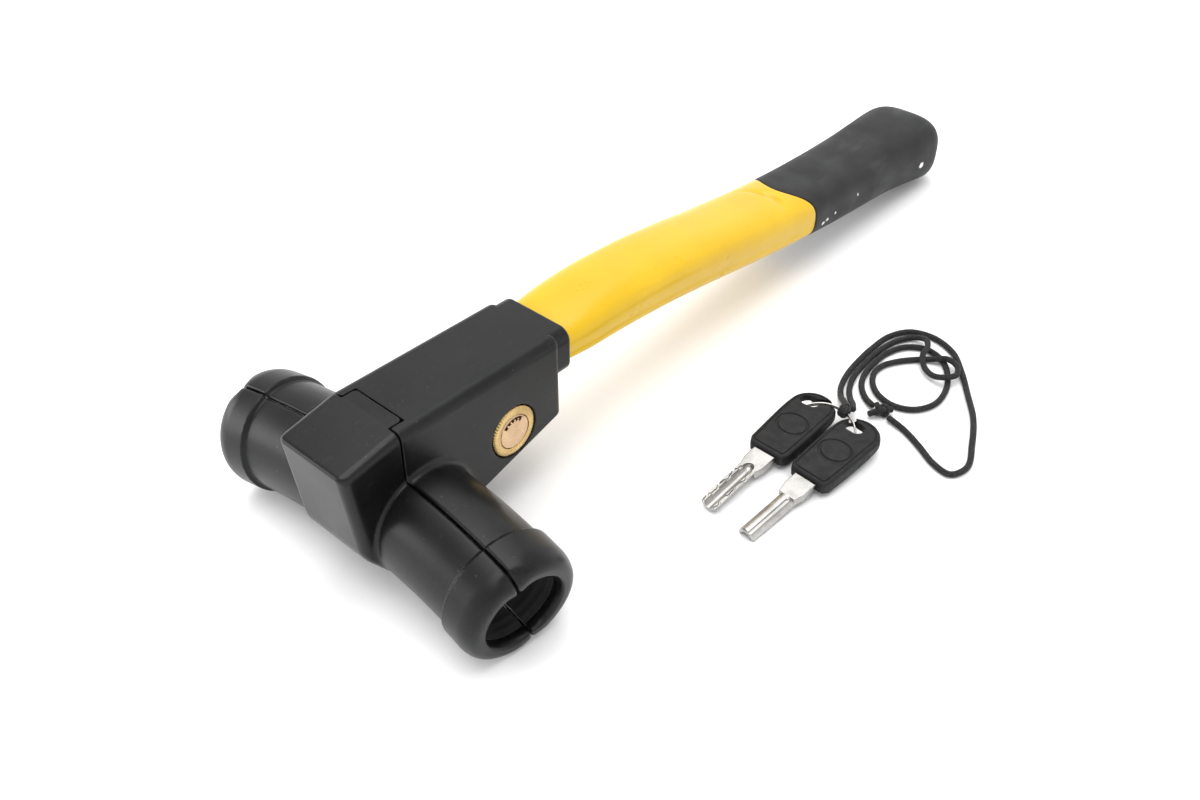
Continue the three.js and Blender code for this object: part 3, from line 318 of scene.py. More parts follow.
def skin(name, rings, close_first=False, close_last=False, closed=False, band=False):
    """A mesh over a row of equal rings of points.

    Its ends are filled by fans or joined in a loop; a band's section is an outer arc and an
    inner arc back, and strips between the two fill its ends.
    """
    rings = np.asarray(rings, float)
    rows, count = rings.shape[:2]
    points = rings.reshape(-1, 3)
    faces = []
    for row in range(rows if closed else rows - 1):
        here, next_row = row * count, ((row + 1) % rows) * count
        for side in range(count):
            beside = (side + 1) % count
            faces.append((here + side, here + beside, next_row + beside, next_row + side))
    for wanted, row in ((close_first, 0), (close_last, rows - 1)):
        if wanted:
            points = np.vstack([points, rings[row].mean(0)])
            centre, start = len(points) - 1, row * count
            for side in range(count):
                pair = (start + (side + 1) % count, start + side)
                faces.append((centre, *(pair if row == 0 else pair[::-1])))
    for start in (0, (rows - 1) * count) if band else ():
        for side in range(count // 2 - 1):
            far = start + count - 1 - side
            quad = (start + side, start + side + 1, far - 1, far)
            faces.append(quad if start else quad[::-1])
    piece = mesh_object(name, points, faces)
    turn_outwards(piece)
    return piece


def turn_outwards(piece):
    """Flips a closed mesh whose faces point in."""
    mesh = piece.data
    mesh.calc_loop_triangles()
    corners = np.zeros(len(mesh.loop_triangles) * 3, np.int32)
    mesh.loop_triangles.foreach_get("vertices", corners)
    places = np.zeros(len(mesh.vertices) * 3)
    mesh.vertices.foreach_get("co", places)
    a, b, c = places.reshape(-1, 3)[corners].reshape(-1, 3, 3).transpose(1, 0, 2)
    if (a * np.cross(b, c)).sum() < 0:
        mesh.flip_normals()


def fix_faces(piece):
    """Makes all faces of a closed mesh point out, and keeps its ends sharp."""
    work = bmesh.new()
    work.from_mesh(piece.data)
    bmesh.ops.recalc_face_normals(work, faces=work.faces)
    for edge in work.edges:
        if len(edge.link_faces) == 2 and edge.calc_face_angle(0.0) > math.radians(40):
            edge.smooth = False
    work.to_mesh(piece.data)
    work.free()


def frames_along(path):
    """Directions along a path, with side vectors that turn as little as they can."""
    ahead = np.gradient(path, axis=0)
    ahead /= np.linalg.norm(ahead, axis=1)[:, None]
    side = np.cross(ahead[0], [0.0, 0.0, 1.0])
    sides = []
    for direction in ahead:
        side = side - direction * (side @ direction)
        side = side / np.linalg.norm(side)
        sides.append(side)
    sides = np.array(sides)
    return ahead, sides, np.cross(ahead, sides)


def rescale(piece):
    """From millimetres to metres."""
    piece.data.transform(Matrix.Scale(MM, 4))


def tube(name, path, radius, around, relief=None):
    """A closed tube along a path, with rounded ends; relief(distance, angle) is added to radius."""
    path = np.asarray(path, float)
    ahead, side, up = frames_along(path)
    distance = np.concatenate([[0], np.cumsum(np.linalg.norm(np.diff(path, axis=0), axis=1))])
    angle = np.linspace(0, 2 * math.pi, around, endpoint=False)
    cos, sin = np.cos(angle)[None, :, None], np.sin(angle)[None, :, None]
    wheel = cos * side[:, None] + sin * up[:, None]
    extent = np.full((len(path), around), float(radius))
    if relief is not None:
        extent = extent + relief(distance[:, None], angle[None, :])
    rings = path[:, None] + extent[..., None] * wheel

    def dome(end, way, turns):
        push, rim = way * 0.6 * radius * ahead[end], rings[end] - path[end]
        return [path[end] + push * math.sin(t) + rim * math.cos(t) for t in turns]

    turns = np.radians([80, 60, 40, 20])
    rings = np.concatenate([dome(0, -1, turns), rings, dome(-1, 1, turns[::-1])])
    return skin(name, rings, close_first=True, close_last=True)


def smooth_path(route, spacing):
    """Points at even spacing on a centripetal Catmull-Rom curve through a route."""
    p = np.asarray(route, float)
    p = np.vstack([2 * p[0] - p[1], p, 2 * p[-1] - p[-2]])
    fine = []
    for i in range(1, len(p) - 2):
        gaps = np.linalg.norm(np.diff(p[i - 1:i + 3], axis=0), axis=1) ** 0.5
        knots = np.concatenate([[0], np.cumsum(gaps)])
        slope_one = three_point_slope(p[i - 1], p[i], p[i + 1], knots[0:3])
        slope_two = three_point_slope(p[i], p[i + 1], p[i + 2], knots[1:4])
        span = knots[2] - knots[1]
        t = np.linspace(0, 1, 24, endpoint=False)[:, None]
        fine.append(
            (2 * t ** 3 - 3 * t ** 2 + 1) * p[i] + (t ** 3 - 2 * t ** 2 + t) * slope_one * span
            + (3 * t ** 2 - 2 * t ** 3) * p[i + 1] + (t ** 3 - t ** 2) * slope_two * span
        )
    fine = np.vstack(fine + [p[-2][None]])
    along = np.concatenate([[0], np.cumsum(np.linalg.norm(np.diff(fine, axis=0), axis=1))])
    at = np.linspace(0, along[-1], max(2, round(along[-1] / spacing) + 1))
    return np.stack([np.interp(at, along, fine[:, axis]) for axis in range(3)], 1), along[-1]


def three_point_slope(a, b, c, knots):
    """The slope at b of a curve through three points at uneven knots."""
    first, second = knots[1] - knots[0], knots[2] - knots[1]
    return (b - a) / first - (c - a) / (first + second) + (c - b) / second


# ---------- distance fields ----------


def meet(a, b, blend=0.0):
    """Inside both; blend rounds the edge between them."""
    if blend <= 0:
        return np.maximum(a, b)
    near = np.maximum(blend - np.abs(a - b), 0) / blend
    return np.maximum(a, b) + near * near * blend / 4


def join(a, b, blend=0.0):
    """Inside either; blend fills the corner between them."""
    return -meet(-a, -b, blend)


def cut(a, b, blend=0.0):
    """Inside a and outside b; blend rounds the rim of the cut."""
    return meet(a, -b, blend)


def rounded_box(u, v, left, right, bottom, top, low_radius, top_radius):
    """Distance to a rounded rectangle, with one radius for its lower corners, one for its upper."""
    middle = (bottom + top) / 2
    radius = np.where(v > middle, top_radius, low_radius)
    across = np.abs(u - (left + right) / 2) - (right - left) / 2 + radius
    up = np.abs(v - middle) - (top - bottom) / 2 + radius
    outside = np.hypot(np.maximum(across, 0), np.maximum(up, 0))
    return outside + np.minimum(np.maximum(across, up), 0) - radius


def block(x, y, z, low, high):
    """A box between two corners."""
    sides = [np.maximum(a - p, p - b) for p, a, b in zip((x, y, z), low, high)]
    return np.maximum(np.maximum(sides[0], sides[1]), sides[2])


def ease(value, start, end):
    """A soft step from 0 at start to 1 at end."""
    share = np.clip((value - start) / (end - start), 0, 1)
    return share * share * (3 - 2 * share)


def tube_place(x, y, z):
    """The clamp tube's own coordinates: along it, across its split and up along its split."""
    outwards, sideways = turned(y, z, -TUBE_BEND_TILT)
    reach = TUBE_BEND_RADIUS + outwards
    along = TUBE_BEND_RADIUS * np.arctan2(x, reach)
    outwards = np.hypot(x, reach) - TUBE_BEND_RADIUS
    return along, *turned(outwards, sideways, TUBE_BEND_TILT - SEAM_TILT)


def tube_point(along, across, up):
    """The reverse: a point of the lock's frame from the tube's own coordinates."""
    outwards, sideways = turned(across, up, SEAM_TILT - TUBE_BEND_TILT)
    reach, angle = TUBE_BEND_RADIUS + outwards, along / TUBE_BEND_RADIUS
    outwards = reach * math.cos(angle) - TUBE_BEND_RADIUS
    return reach * math.sin(angle), *turned(outwards, sideways, TUBE_BEND_TILT)


def cover_tube(along, across, up):
    """The bent plastic tube with its cuffs, lips that curl in at the split, and its bore."""
    distance = np.abs(along)
    curl = 1.6 * np.exp(-(across / 3.4) ** 2) * ease(distance, 58.0, 62.0)
    radius = np.hypot(across, up) + np.where(up > 0, curl, 0.7 * curl)
    step = (CUFF_RADIUS - TUBE_RADIUS) * ease(distance, CUFF_START, CUFF_START + CUFF_RAMP)
    end = np.clip((distance - ROUND_START) / (COVER_END + 0.2 - ROUND_START), 0, 1)
    outside = TUBE_RADIUS + step - ROUND_DROP * (1 - np.sqrt(1 - end ** 2))
    outer = meet(radius - outside, distance - COVER_END, 1.2)
    lip = radius - LIP_RADIUS - 0.5 * ease(distance, 60, COVER_END)
    bore = np.minimum(
        lip, np.maximum(np.hypot(across, up) - BORE_RADIUS, distance - STEEL_END - 0.3),
    )
    return outer, bore


def hinge_room(x, y, z, along, across, up):
    """Room for the hinge barrels and their webs, and the V grooves along the lower split."""
    barrel = np.hypot(y - HINGE[1], z - HINGE[2]) - 3.8
    channel = np.maximum(np.abs(across) + 0.53 * (-15 - up) - 5.6, np.maximum(up + 15, -20 - up))
    room = np.maximum(np.minimum(barrel, channel), np.abs(x) - 13.9)
    edge = TUBE_RADIUS + 0.2 + 1.3 * ease(np.abs(along), CUFF_START, CUFF_START + CUFF_RAMP)
    groove = (np.abs(across) + np.abs(up + edge) - 1.7) * 0.7
    return np.minimum(room, groove)


def top_at(y):
    return TOP_AT_FRONT - TOP_FALL * (y - BODY_FRONT)


def belly_at(y):
    return BELLY_AT_LOCK + BELLY_RISE * (y - LOCK_Y)


def smooth_columns():
    """The handle's stations at every millimetre, each column smoothed along the handle."""
    fine = np.arange(60.0, 292.0, 1.0)
    window = np.hanning(2 * HANDLE_SMOOTHING + 1)
    columns = []
    for column in HANDLE_STATIONS.T[1:]:
        values = np.interp(fine, HANDLE_STATIONS[:, 0], column)
        padded = np.pad(values, HANDLE_SMOOTHING, mode="reflect", reflect_type="odd")
        columns.append(np.convolve(padded, window / window.sum(), mode="valid"))
    return fine, columns


HANDLE_FINE, HANDLE_COLUMNS = smooth_columns()


def handle_at(y):
    """Centre height, half width and half height of the handle's section."""
    centre, width, height = (np.interp(y, HANDLE_FINE, values) for values in HANDLE_COLUMNS)
    end = np.clip((np.asarray(y, float) - TIP_START) / (HANDLE_END - TIP_START), 0, 1)
    fall = 1 - np.sqrt(1 - end ** 2)
    return centre, width - 5.6 * fall, height - 5.0 * fall


def handle_field(x, y, z, extra):
    """Roughly the distance to the handle's surface, grown by extra."""
    centre, width, height = handle_at(y)
    width, height = width + extra, height + extra
    wide, tall = np.abs(x / width), np.abs((z - centre) / height)
    ratio = (wide ** HANDLE_POWER + tall ** HANDLE_POWER) ** (1 / HANDLE_POWER)
    return (ratio - 1) * np.minimum(width, height)


def body_field(x, y, z):
    """The body housing with the rear halves of the clamp's arms."""
    along, across, up = tube_place(x, y, z)
    flat_across = turned(y, z, -SEAM_TILT)[0]
    outer, bore = cover_tube(along, across, up)
    low, high = belly_at(y), top_at(y)
    main = rounded_box(x, z, -HALF_WIDTH, HALF_WIDTH, low, high, LOW_RADIUS, TOP_RADIUS)
    main = meet(meet(main, y - BELLY_REAR, 2.0), BODY_FRONT - y, 0.6)
    left, right = -HALF_WIDTH + 1.0, HALF_WIDTH - 0.5
    collar = rounded_box(x, z, left, right, COLLAR_BOTTOM, high, 4, TOP_RADIUS + 1)
    collar = meet(collar, np.maximum(y - COLLAR_REAR, 45 - y), 1.2)
    whole = join(main, collar)
    whole = cut(whole, np.maximum(z - SPLIT_TOP, flat_across - SEAM_GAP), 0.6)
    arms = meet(outer, SEAM_GAP - across, 1.2)
    whole = join(whole, arms, 2.6)
    inner = HALF_WIDTH - WALL
    inside = rounded_box(x, z, -inner, inner, low + WALL, high - WALL, 1.2, 2.6)
    inside = np.maximum(inside, np.maximum(BODY_FRONT + WALL - y, y - BELLY_REAR + WALL))
    whole = cut(whole, inside)
    whole = cut(whole, np.maximum(handle_field(x, y, z, 0.3), 55.5 - y), 0.5)
    whole = cut(whole, np.maximum(np.hypot(x, z - ROD_HEIGHT) - ROD_RADIUS - 0.3, 50 - y))
    whole = cut(whole, np.maximum(np.hypot(y - LOCK_Y, z - LOCK_Z) - RING_RADIUS - 0.2, 5 - x), 0.5)
    whole = cut(whole, base_opening(x, y, z), 0.4)
    notch = np.maximum(y - 0.35, TAB_FLOOR - 1.1 - z)
    whole = cut(whole, np.maximum(np.abs(x) - TAB_HALF_WIDTH - 0.35, notch), 0.5)
    low, high = (-HASP_HALF_WIDTH, -9, HASP_BOTTOM), (HASP_HALF_WIDTH, -2, 31)
    whole = cut(whole, block(x, y, z, low, high))
    # The bore and the hinge's room go through everything.
    whole = cut(whole, bore, 0.9)
    return cut(whole, hinge_room(x, y, z, along, across, up), 0.3)


def base_opening(x, y, z):
    """The opening for the base cover, square to the sloping underside."""
    along, depth = turned(y - COVER_Y, z - belly_at(COVER_Y), -math.atan(BELLY_RISE))
    plan = rounded_box(
        x, along, -COVER_HALF_WIDTH, COVER_HALF_WIDTH, -COVER_HALF_LENGTH, COVER_HALF_LENGTH, 2, 2,
    )
    return np.maximum(plan, np.maximum(depth - 5.4, -8 - depth))


def jaw_field(x, y, z):
    """The front jaw's cover: block, tab and the front halves of the arms."""
    along, across, up = tube_place(x, y, z)
    flat_across = turned(y, z, -SEAM_TILT)[0]
    outer, bore = cover_tube(along, across, up)
    top = TOP_AT_FRONT + 0.19 * (y - BLOCK_REAR)
    tunnel = rounded_box(x, z, -HALF_WIDTH, HALF_WIDTH, BLOCK_BOTTOM, top, 5, TOP_RADIUS)
    # The face leans, and its corners are round in plan.
    forward = -y - 0.11 * (z - 2)
    plan = rounded_box(x, forward, -HALF_WIDTH, HALF_WIDTH, -60, BLOCK_FRONT, 1, 3.8)
    chin = -0.788 * y - 0.615 * z - 19.6
    lump = meet(meet(tunnel, plan, 1.4), chin, 2.0)
    behind = np.minimum(
        np.maximum(SPLIT_TOP - z, BLOCK_REAR - y),
        np.maximum(z - SPLIT_TOP, -SEAM_GAP - flat_across),
    )
    lump = cut(lump, behind, 0.6)
    tab = rounded_box(x, z, -HALF_WIDTH, HALF_WIDTH, 0, top_at(y), 5, TOP_RADIUS)
    tab_plan = rounded_box(x, y, -TAB_HALF_WIDTH, TAB_HALF_WIDTH, -30, 0, 0.1, 1.6)
    tab = meet(tab, np.maximum(tab_plan, np.maximum(BLOCK_REAR - 0.4 - y, TAB_FLOOR - z)), 0.5)
    arms = meet(outer, across + SEAM_GAP, 1.2)
    whole = join(join(lump, tab), arms, 1.6)
    whole = cut(whole, block(x, y, z, (-12.6, -21.5, 8), (12.6, -8.4, 28)))
    low, high = (-HASP_HALF_WIDTH, -9, HASP_BOTTOM), (HASP_HALF_WIDTH, 2, 28.6)
    whole = cut(whole, block(x, y, z, low, high))
    whole = cut(whole, bore, 0.9)
    return cut(whole, hinge_room(x, y, z, along, across, up), 0.3)


def keyway_field(y, z):
    """The crescent keyway with its ward teeth, in the plug's face."""
    right, rise = y - LOCK_Y, z - LOCK_Z
    radius = np.hypot(right, rise)
    angle = np.degrees(np.arctan2(rise, right))
    mm_per_degree = 0.085
    crescent = np.maximum(radius - 5.45, 3.9 - radius)
    slot = np.maximum(crescent, (np.abs(angle - 96) - 47) * mm_per_degree)
    for tooth in (66, 86, 106, 126):
        ward = np.maximum(np.abs(angle - tooth) * mm_per_degree - 0.4, radius - 4.85)
        slot = cut(slot, ward, 0.15)
    return slot


def plug_field(x, y, z):
    """The plug: its barrel with the keyway, and the tail that carries the cam."""
    radius = np.hypot(y - LOCK_Y, z - LOCK_Z)
    barrel = meet(radius - PLUG_RADIUS, np.maximum(x - PLUG_FACE, -6 - x), 0.5)
    tail = np.maximum(radius - 2, np.maximum(-12.6 - x, x + 5))
    keyway = np.maximum(keyway_field(y, z), -3 - x)
    return cut(np.minimum(barrel, tail), keyway, 0.2)


def key_bow_field(x, y, z):
    """A key's bow about its own middle plane: sides, ring hole, rim line and plain oval."""
    half = np.interp(y, [-1, 2, 22, 28, 36], [2.0, 2.7, 2.7, 2.0, 1.6])
    plan = rounded_box(x, y, -8.6, 8.6, 0, 34, 2, 8.5)
    taper = np.abs(x) - np.interp(y, [-1, 2.6, 18], [6.0, 7.8, 8.6])
    plan = meet(plan, taper, 0.8)
    top_side = np.abs(z) - half
    rim = np.abs(plan + 1.5) - 0.28
    oval = np.abs(np.hypot(x / 5.6, (y - 15.0) / 4.6) - 1) * 4.8 - 0.35
    face = cut(top_side, np.maximum(np.minimum(rim, oval), -top_side - 0.35), 0.25)
    bow = meet(plan, face, 1.3)
    hole = rounded_box(x, y, -5.9, 0.9, 26.1, 30.9, 2.3, 2.3)
    tang = block(x, y, z, (-2.8, -2, -1.1), (2.8, 14.3, 1.1))
    return cut(cut(bow, hole, 0.9), tang, 0.2)


def key_blade_field(x, y, z, milled):
    """Half a pipe with a flat shoulder; the trough opens towards -z."""
    rise = 1.6
    radius = np.hypot(x, z + rise)
    pipe = meet(np.maximum(radius - BLADE_RADIUS, -rise - z), -BLADE_LENGTH - y, 0.9)
    pipe = np.maximum(pipe, y + 6)
    shoulder_half = np.interp(y, [-10, -6], [3.2, 4.2])
    shoulder = np.maximum(np.abs(x) - shoulder_half, np.maximum(-10 - y, y + 0.3))
    shoulder = meet(shoulder, np.abs(z) - rise, 0.4)
    tang = block(x, y, z, (-2.5, -1, -0.8), (2.5, 14, 0.8))
    runout = np.hypot(radius, np.maximum(y + 9, 0)) - TROUGH_RADIUS
    whole = cut(np.minimum(pipe, shoulder), np.maximum(radius - TROUGH_RADIUS, y + 9), 0.2)
    whole = cut(whole, runout, 0.2)
    if milled:
        for side in (-1, 1):
            wave = side * 2.35 + 0.4 * np.sin(y * 0.9 + side) + 0.15 * np.sin(y * 2.3)
            track = np.maximum(np.abs(x - wave) - 0.35, np.maximum(z + rise - 0.55, y + 10))
            whole = cut(whole, track, 0.15)
    else:
        flat = np.maximum(np.abs(x - 1.5) - 0.55, np.maximum(0.95 - z, y + 11))
        whole = cut(whole, flat, 0.1)
    return np.minimum(whole, tang)


def ring_clearance(x, y, z):
    """The split ring's path with room round it, in floor coordinates."""
    flat, off = turned(y - RING_CENTRE[1], z - RING_CENTRE[2], -SPLIT_RING_TILT)
    return np.hypot(np.hypot(x - RING_CENTRE[0], flat) - SPLIT_RING_RADIUS, off) - 1.45


def on_key(points, key):
    """From a key's own frame to the floor's."""
    x, y, z = np.asarray(points, float).T
    y, z = turned(y, z, math.radians(KEY_PITCH))
    x, y = turned(x, y, math.radians(key["turn"]))
    return np.stack([x + key["x"], y + key["y"], z + KEY_HEIGHT], -1)


# ---------- materials ----------


class Look:
    """A procedural material made of a Principled shader and the nodes that feed it."""

    def __init__(self, name, metallic=0.0):
        self.material = bpy.data.materials.new(name)
        self.material.use_nodes = True
        self.tree = self.material.node_tree
        self.shader = self.tree.nodes["Principled BSDF"]
        self.shader.inputs["Metallic"].default_value = metallic
        self.place = self.node("ShaderNodeTexCoord").outputs["Object"]
        self.color = self.roughness = self.height = None

    def node(self, kind, **settings):
        made = self.tree.nodes.new(kind)
        for key, value in settings.items():
            setattr(made, key, value)
        return made

    def link(self, source, target):
        self.tree.links.new(source, target)

    def stretched(self, scale):
        mapping = self.node("ShaderNodeMapping")
        mapping.inputs["Scale"].default_value = scale
        self.link(self.place, mapping.inputs["Vector"])
        return mapping.outputs["Vector"]

    def noise(self, scale, detail=3.0, vector=None):
        made = self.node("ShaderNodeTexNoise")
        made.inputs["Scale"].default_value = scale
        made.inputs["Detail"].default_value = detail
        self.link(vector or self.place, made.inputs["Vector"])
        return made.outputs["Fac"]

    def ramp(self, source, low, high, start, end):
        """Maps low..high of a value to start..end."""
        made = self.node("ShaderNodeMapRange", clamp=True)
        self.link(source, made.inputs["Value"])
        made.inputs["From Min"].default_value = low
        made.inputs["From Max"].default_value = high
        made.inputs["To Min"].default_value = start
        made.inputs["To Max"].default_value = end
        return made.outputs["Result"]

    def mix(self, factor, first, second):
        """Mixes two colours, each a colour or a socket."""
        made = self.node("ShaderNodeMix", data_type="RGBA")
        self.link(factor, made.inputs["Factor"])
        for socket, value in (("A", first), ("B", second)):
            target = [s for s in made.inputs if s.name == socket and s.type == "RGBA"][0]
            if isinstance(value, tuple):
                target.default_value = (*value, 1.0)
            else:
                self.link(value, target)
        return [s for s in made.outputs if s.type == "RGBA"][0]

    def math(self, operation, first, second):
        made = self.node("ShaderNodeMath", operation=operation)
        for socket, value in zip(made.inputs, (first, second)):
            if isinstance(value, (int, float)):
                socket.default_value = value
            else:
                self.link(value, socket)
        return made.outputs["Value"]

    def patches(self, scale, detail, low, high, first, second):
        """Colours the piece in soft patches of two colours."""
        share = self.ramp(self.noise(scale, detail), low, high, 0, 1)
        self.color = self.mix(share, first, second)

    def roughen(self, scale, detail, start, end):
        """Roughness that drifts between two values."""
        self.roughness = self.ramp(self.noise(scale, detail), 0.3, 0.7, start, end)

    def specular(self, level):
        self.shader.inputs["Specular IOR Level"].default_value = level

    def finish(self, bump=0.0, depth=0.0):
        """Links what was made; bump is the relief's strength, depth its height in metres."""
        self.link(self.color, self.shader.inputs["Base Color"])
        self.link(self.roughness, self.shader.inputs["Roughness"])
        if self.height is not None:
            made = self.node("ShaderNodeBump")
            made.inputs["Strength"].default_value = bump
            made.inputs["Distance"].default_value = depth
            self.link(self.height, made.inputs["Height"])
            self.link(made.outputs["Normal"], self.shader.inputs["Normal"])
        return self.material


def black_plastic():
    look = Look("black_plastic")
    look.patches(60, 4, 0.35, 0.7, (0.0035, 0.0035, 0.0038), (0.0065, 0.0065, 0.0068))
    dust = look.ramp(look.noise(900, 2), 0.70, 0.78, 0, 1)
    look.color = look.mix(dust, look.color, (0.035, 0.035, 0.035))
    scratch = look.ramp(look.noise(240, 2, look.stretched((6, 0.5, 3))), 0.68, 0.74, 0, 1)
    look.color = look.mix(look.math("MULTIPLY", scratch, 0.2), look.color, (0.05, 0.05, 0.05))
    look.roughen(35, 5, 0.27, 0.38)
    look.specular(0.24)
    look.height = look.noise(2600, 2)
    return look.finish(0.14, 0.00006)


def yellow_plastic():
    look = Look("yellow_plastic")
    look.patches(45, 3, 0.35, 0.65, (0.56, 0.345, 0.001), (0.60, 0.375, 0.002))
    speck = look.ramp(look.noise(700, 1), 0.74, 0.79, 0, 1)
    look.color = look.mix(look.math("MULTIPLY", speck, 0.5), look.color, (0.4, 0.23, 0.003))
    look.roughen(55, 4, 0.26, 0.36)
    look.specular(0.35)
    look.shader.inputs["Coat Weight"].default_value = 0.05
    look.shader.inputs["Coat Roughness"].default_value = 0.12
    look.height = look.noise(190, 2)
    return look.finish(0.06, 0.0002)


# Small pale chips along the grip's side, and a worn oval near its end: place and radius.
SCUFFS = [
    ((17.6, 281.0, 5.2), 1.5), ((15.4, 209.5, 8.0), 1.0), ((15.5, 212.0, 8.6), 0.9),
    ((15.7, 217.5, 9.4), 0.7), ((16.0, 233.0, 11.0), 0.5),
]


def grip_rubber():
    look = Look("grip_rubber")
    look.patches(40, 4, 0.35, 0.65, (0.0065, 0.0065, 0.007), (0.0105, 0.0105, 0.011))
    rub = look.ramp(look.noise(160, 4, look.stretched((1, 0.25, 1))), 0.6, 0.75, 0, 0.35)
    look.color = look.mix(rub, look.color, (0.05, 0.05, 0.05))
    for place, size in SCUFFS:
        spot = look.node("ShaderNodeVectorMath", operation="DISTANCE")
        look.link(look.place, spot.inputs[0])
        spot.inputs[1].default_value = tuple(from_lock(place))
        uneven = look.ramp(look.noise(1500, 2), 0, 1, -0.0009, 0.0009)
        ragged = look.math("ADD", spot.outputs["Value"], uneven)
        share = look.ramp(ragged, size * MM, size * MM * 0.8, 0, 1)
        look.color = look.mix(share, look.color, (0.75, 0.75, 0.74))
    look.roughen(90, 4, 0.52, 0.68)
    look.specular(0.35)
    look.height = look.noise(1700, 3)
    return look.finish(0.35, 0.0001)


def plain_rubber(name, color):
    look = Look(name)
    look.patches(150, 4, 0.3, 0.7, color, tuple(1.5 * c for c in color))
    look.roughen(220, 3, 0.65, 0.85)
    look.height = look.noise(1400, 3)
    return look.finish(0.3, 0.0001)


def metal(name, color, dark, rough, brushed=(1, 1, 1), grain=900):
    look = Look(name, metallic=1.0)
    look.patches(130, 4, 0.4, 0.7, color, dark)
    look.height = look.noise(grain, 3, look.stretched(brushed))
    look.roughness = look.ramp(look.height, 0.3, 0.7, *rough)
    return look.finish(0.25, 0.00005)


def key_plastic():
    look = Look("key_plastic")
    look.patches(260, 4, 0.35, 0.65, (0.0055, 0.0055, 0.006), (0.009, 0.009, 0.0095))
    look.roughen(400, 3, 0.5, 0.7)
    look.specular(0.28)
    look.height = look.noise(3800, 2)
    return look.finish(0.4, 0.0001)


def braided_cord():
    look = Look("cord_braid")
    weave = look.ramp(look.noise(2600, 2, look.stretched((1, 1, 0.6))), 0.4, 0.62, 0, 1)
    look.color = look.mix(weave, (0.003, 0.003, 0.0033), (0.012, 0.012, 0.013))
    look.roughness = look.ramp(weave, 0, 1, 0.95, 0.7)
    look.shader.inputs["Sheen Weight"].default_value = 0.04
    look.shader.inputs["Sheen Roughness"].default_value = 0.4
    look.height = weave
    return look.finish(0.5, 0.00025)


def floor_paint():
    look = Look("floor_paint")
    look.patches(4, 3, 0.3, 0.7, (0.87, 0.87, 0.875), (0.90, 0.90, 0.903))
    look.roughen(12, 3, 0.5, 0.62)
    look.specular(0.25)
    return look.finish()


BLACK = black_plastic()
YELLOW = yellow_plastic()
GRIP = grip_rubber()
LINER = plain_rubber("liner_rubber", (0.012, 0.012, 0.012))
STEEL = metal("zinc_steel", (0.42, 0.43, 0.45), (0.28, 0.28, 0.29), (0.28, 0.45), (1, 0.2, 1))
BRASS = metal("turned_brass", (0.62, 0.44, 0.19), (0.46, 0.32, 0.13), (0.22, 0.4), grain=700)
ROSY_BRASS = metal("plug_brass", (0.62, 0.43, 0.27), (0.46, 0.31, 0.19), (0.25, 0.42), grain=700)
NICKEL = metal(
    "nickel_plate", (0.42, 0.41, 0.395), (0.27, 0.265, 0.25), (0.18, 0.34), (1, 0.2, 1), 800,
)
KEY_PLASTIC = key_plastic()
CORD = braided_cord()


def dress(piece, material, body, slot, *nodes):
    """Gives a new piece its material and its body, and hides the CAD nodes it stands for; slot is
    not used.
    """
    piece.data.materials.append(material)
    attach(piece, body)
    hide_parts(*nodes)
    return piece


# ---------- lanyard ----------


def braid(distance, angle):
    """Two sets of strands that wind round the cord in opposite directions."""
    strands, pitch, relief = 6, 3.4, 0.045
    right = np.cos(strands * angle + distance * pitch)
    left = np.cos(strands * angle - distance * pitch)
    return relief * np.maximum(right, left) - relief


def add_lanyard():
    knot = dress(
        moulded(
            "lanyard_knot_tied", knot_field, KNOT - [8, 8, 2.6], KNOT + [8, 8, 3], 0.22, from_floor,
        ),
        CORD, "lock", "cord", "lanyard_knot",
    )
    for name, route in (("outer", OUTER_ROUTE), ("inner", INNER_ROUTE)):
        path, length = smooth_path(route, 0.45)
        strand = tube(f"lanyard_{name}_braid", from_floor(path) / MM, CORD_RADIUS, 24, braid)
        rescale(strand)
        dress(strand, CORD, "lock", "cord", f"lanyard_cord_{name}")
        centreline = from_floor(smooth_path(route, 2.0)[0])
    turns = np.linspace(0, 1, 90)
    along = (turns - 0.5) * 2.3
    angle = turns * 2 * math.pi * 2.2 + 1.2
    hitch = np.stack([along, 1.6 * np.cos(angle), 1.6 * np.sin(angle)], 1)
    strand = tube("lanyard_hitch_turns", on_ring(hitch), 0.75, 14, lambda d, a: 0.5 * braid(d, a))
    rescale(strand)
    dress(strand, CORD, "lock", "cord", "lanyard_hitch")


def on_ring(points):
    """From a place on the split ring's wire, with X along the wire, to the row frame in mm."""
    x, y, z = np.asarray(points).T
    x, y = turned(x, y + SPLIT_RING_RADIUS, -HITCH_ANGLE)
    y, z = turned(y, z, SPLIT_RING_TILT)
    return from_floor(np.stack([x, y, z], 1) + RING_CENTRE) / MM


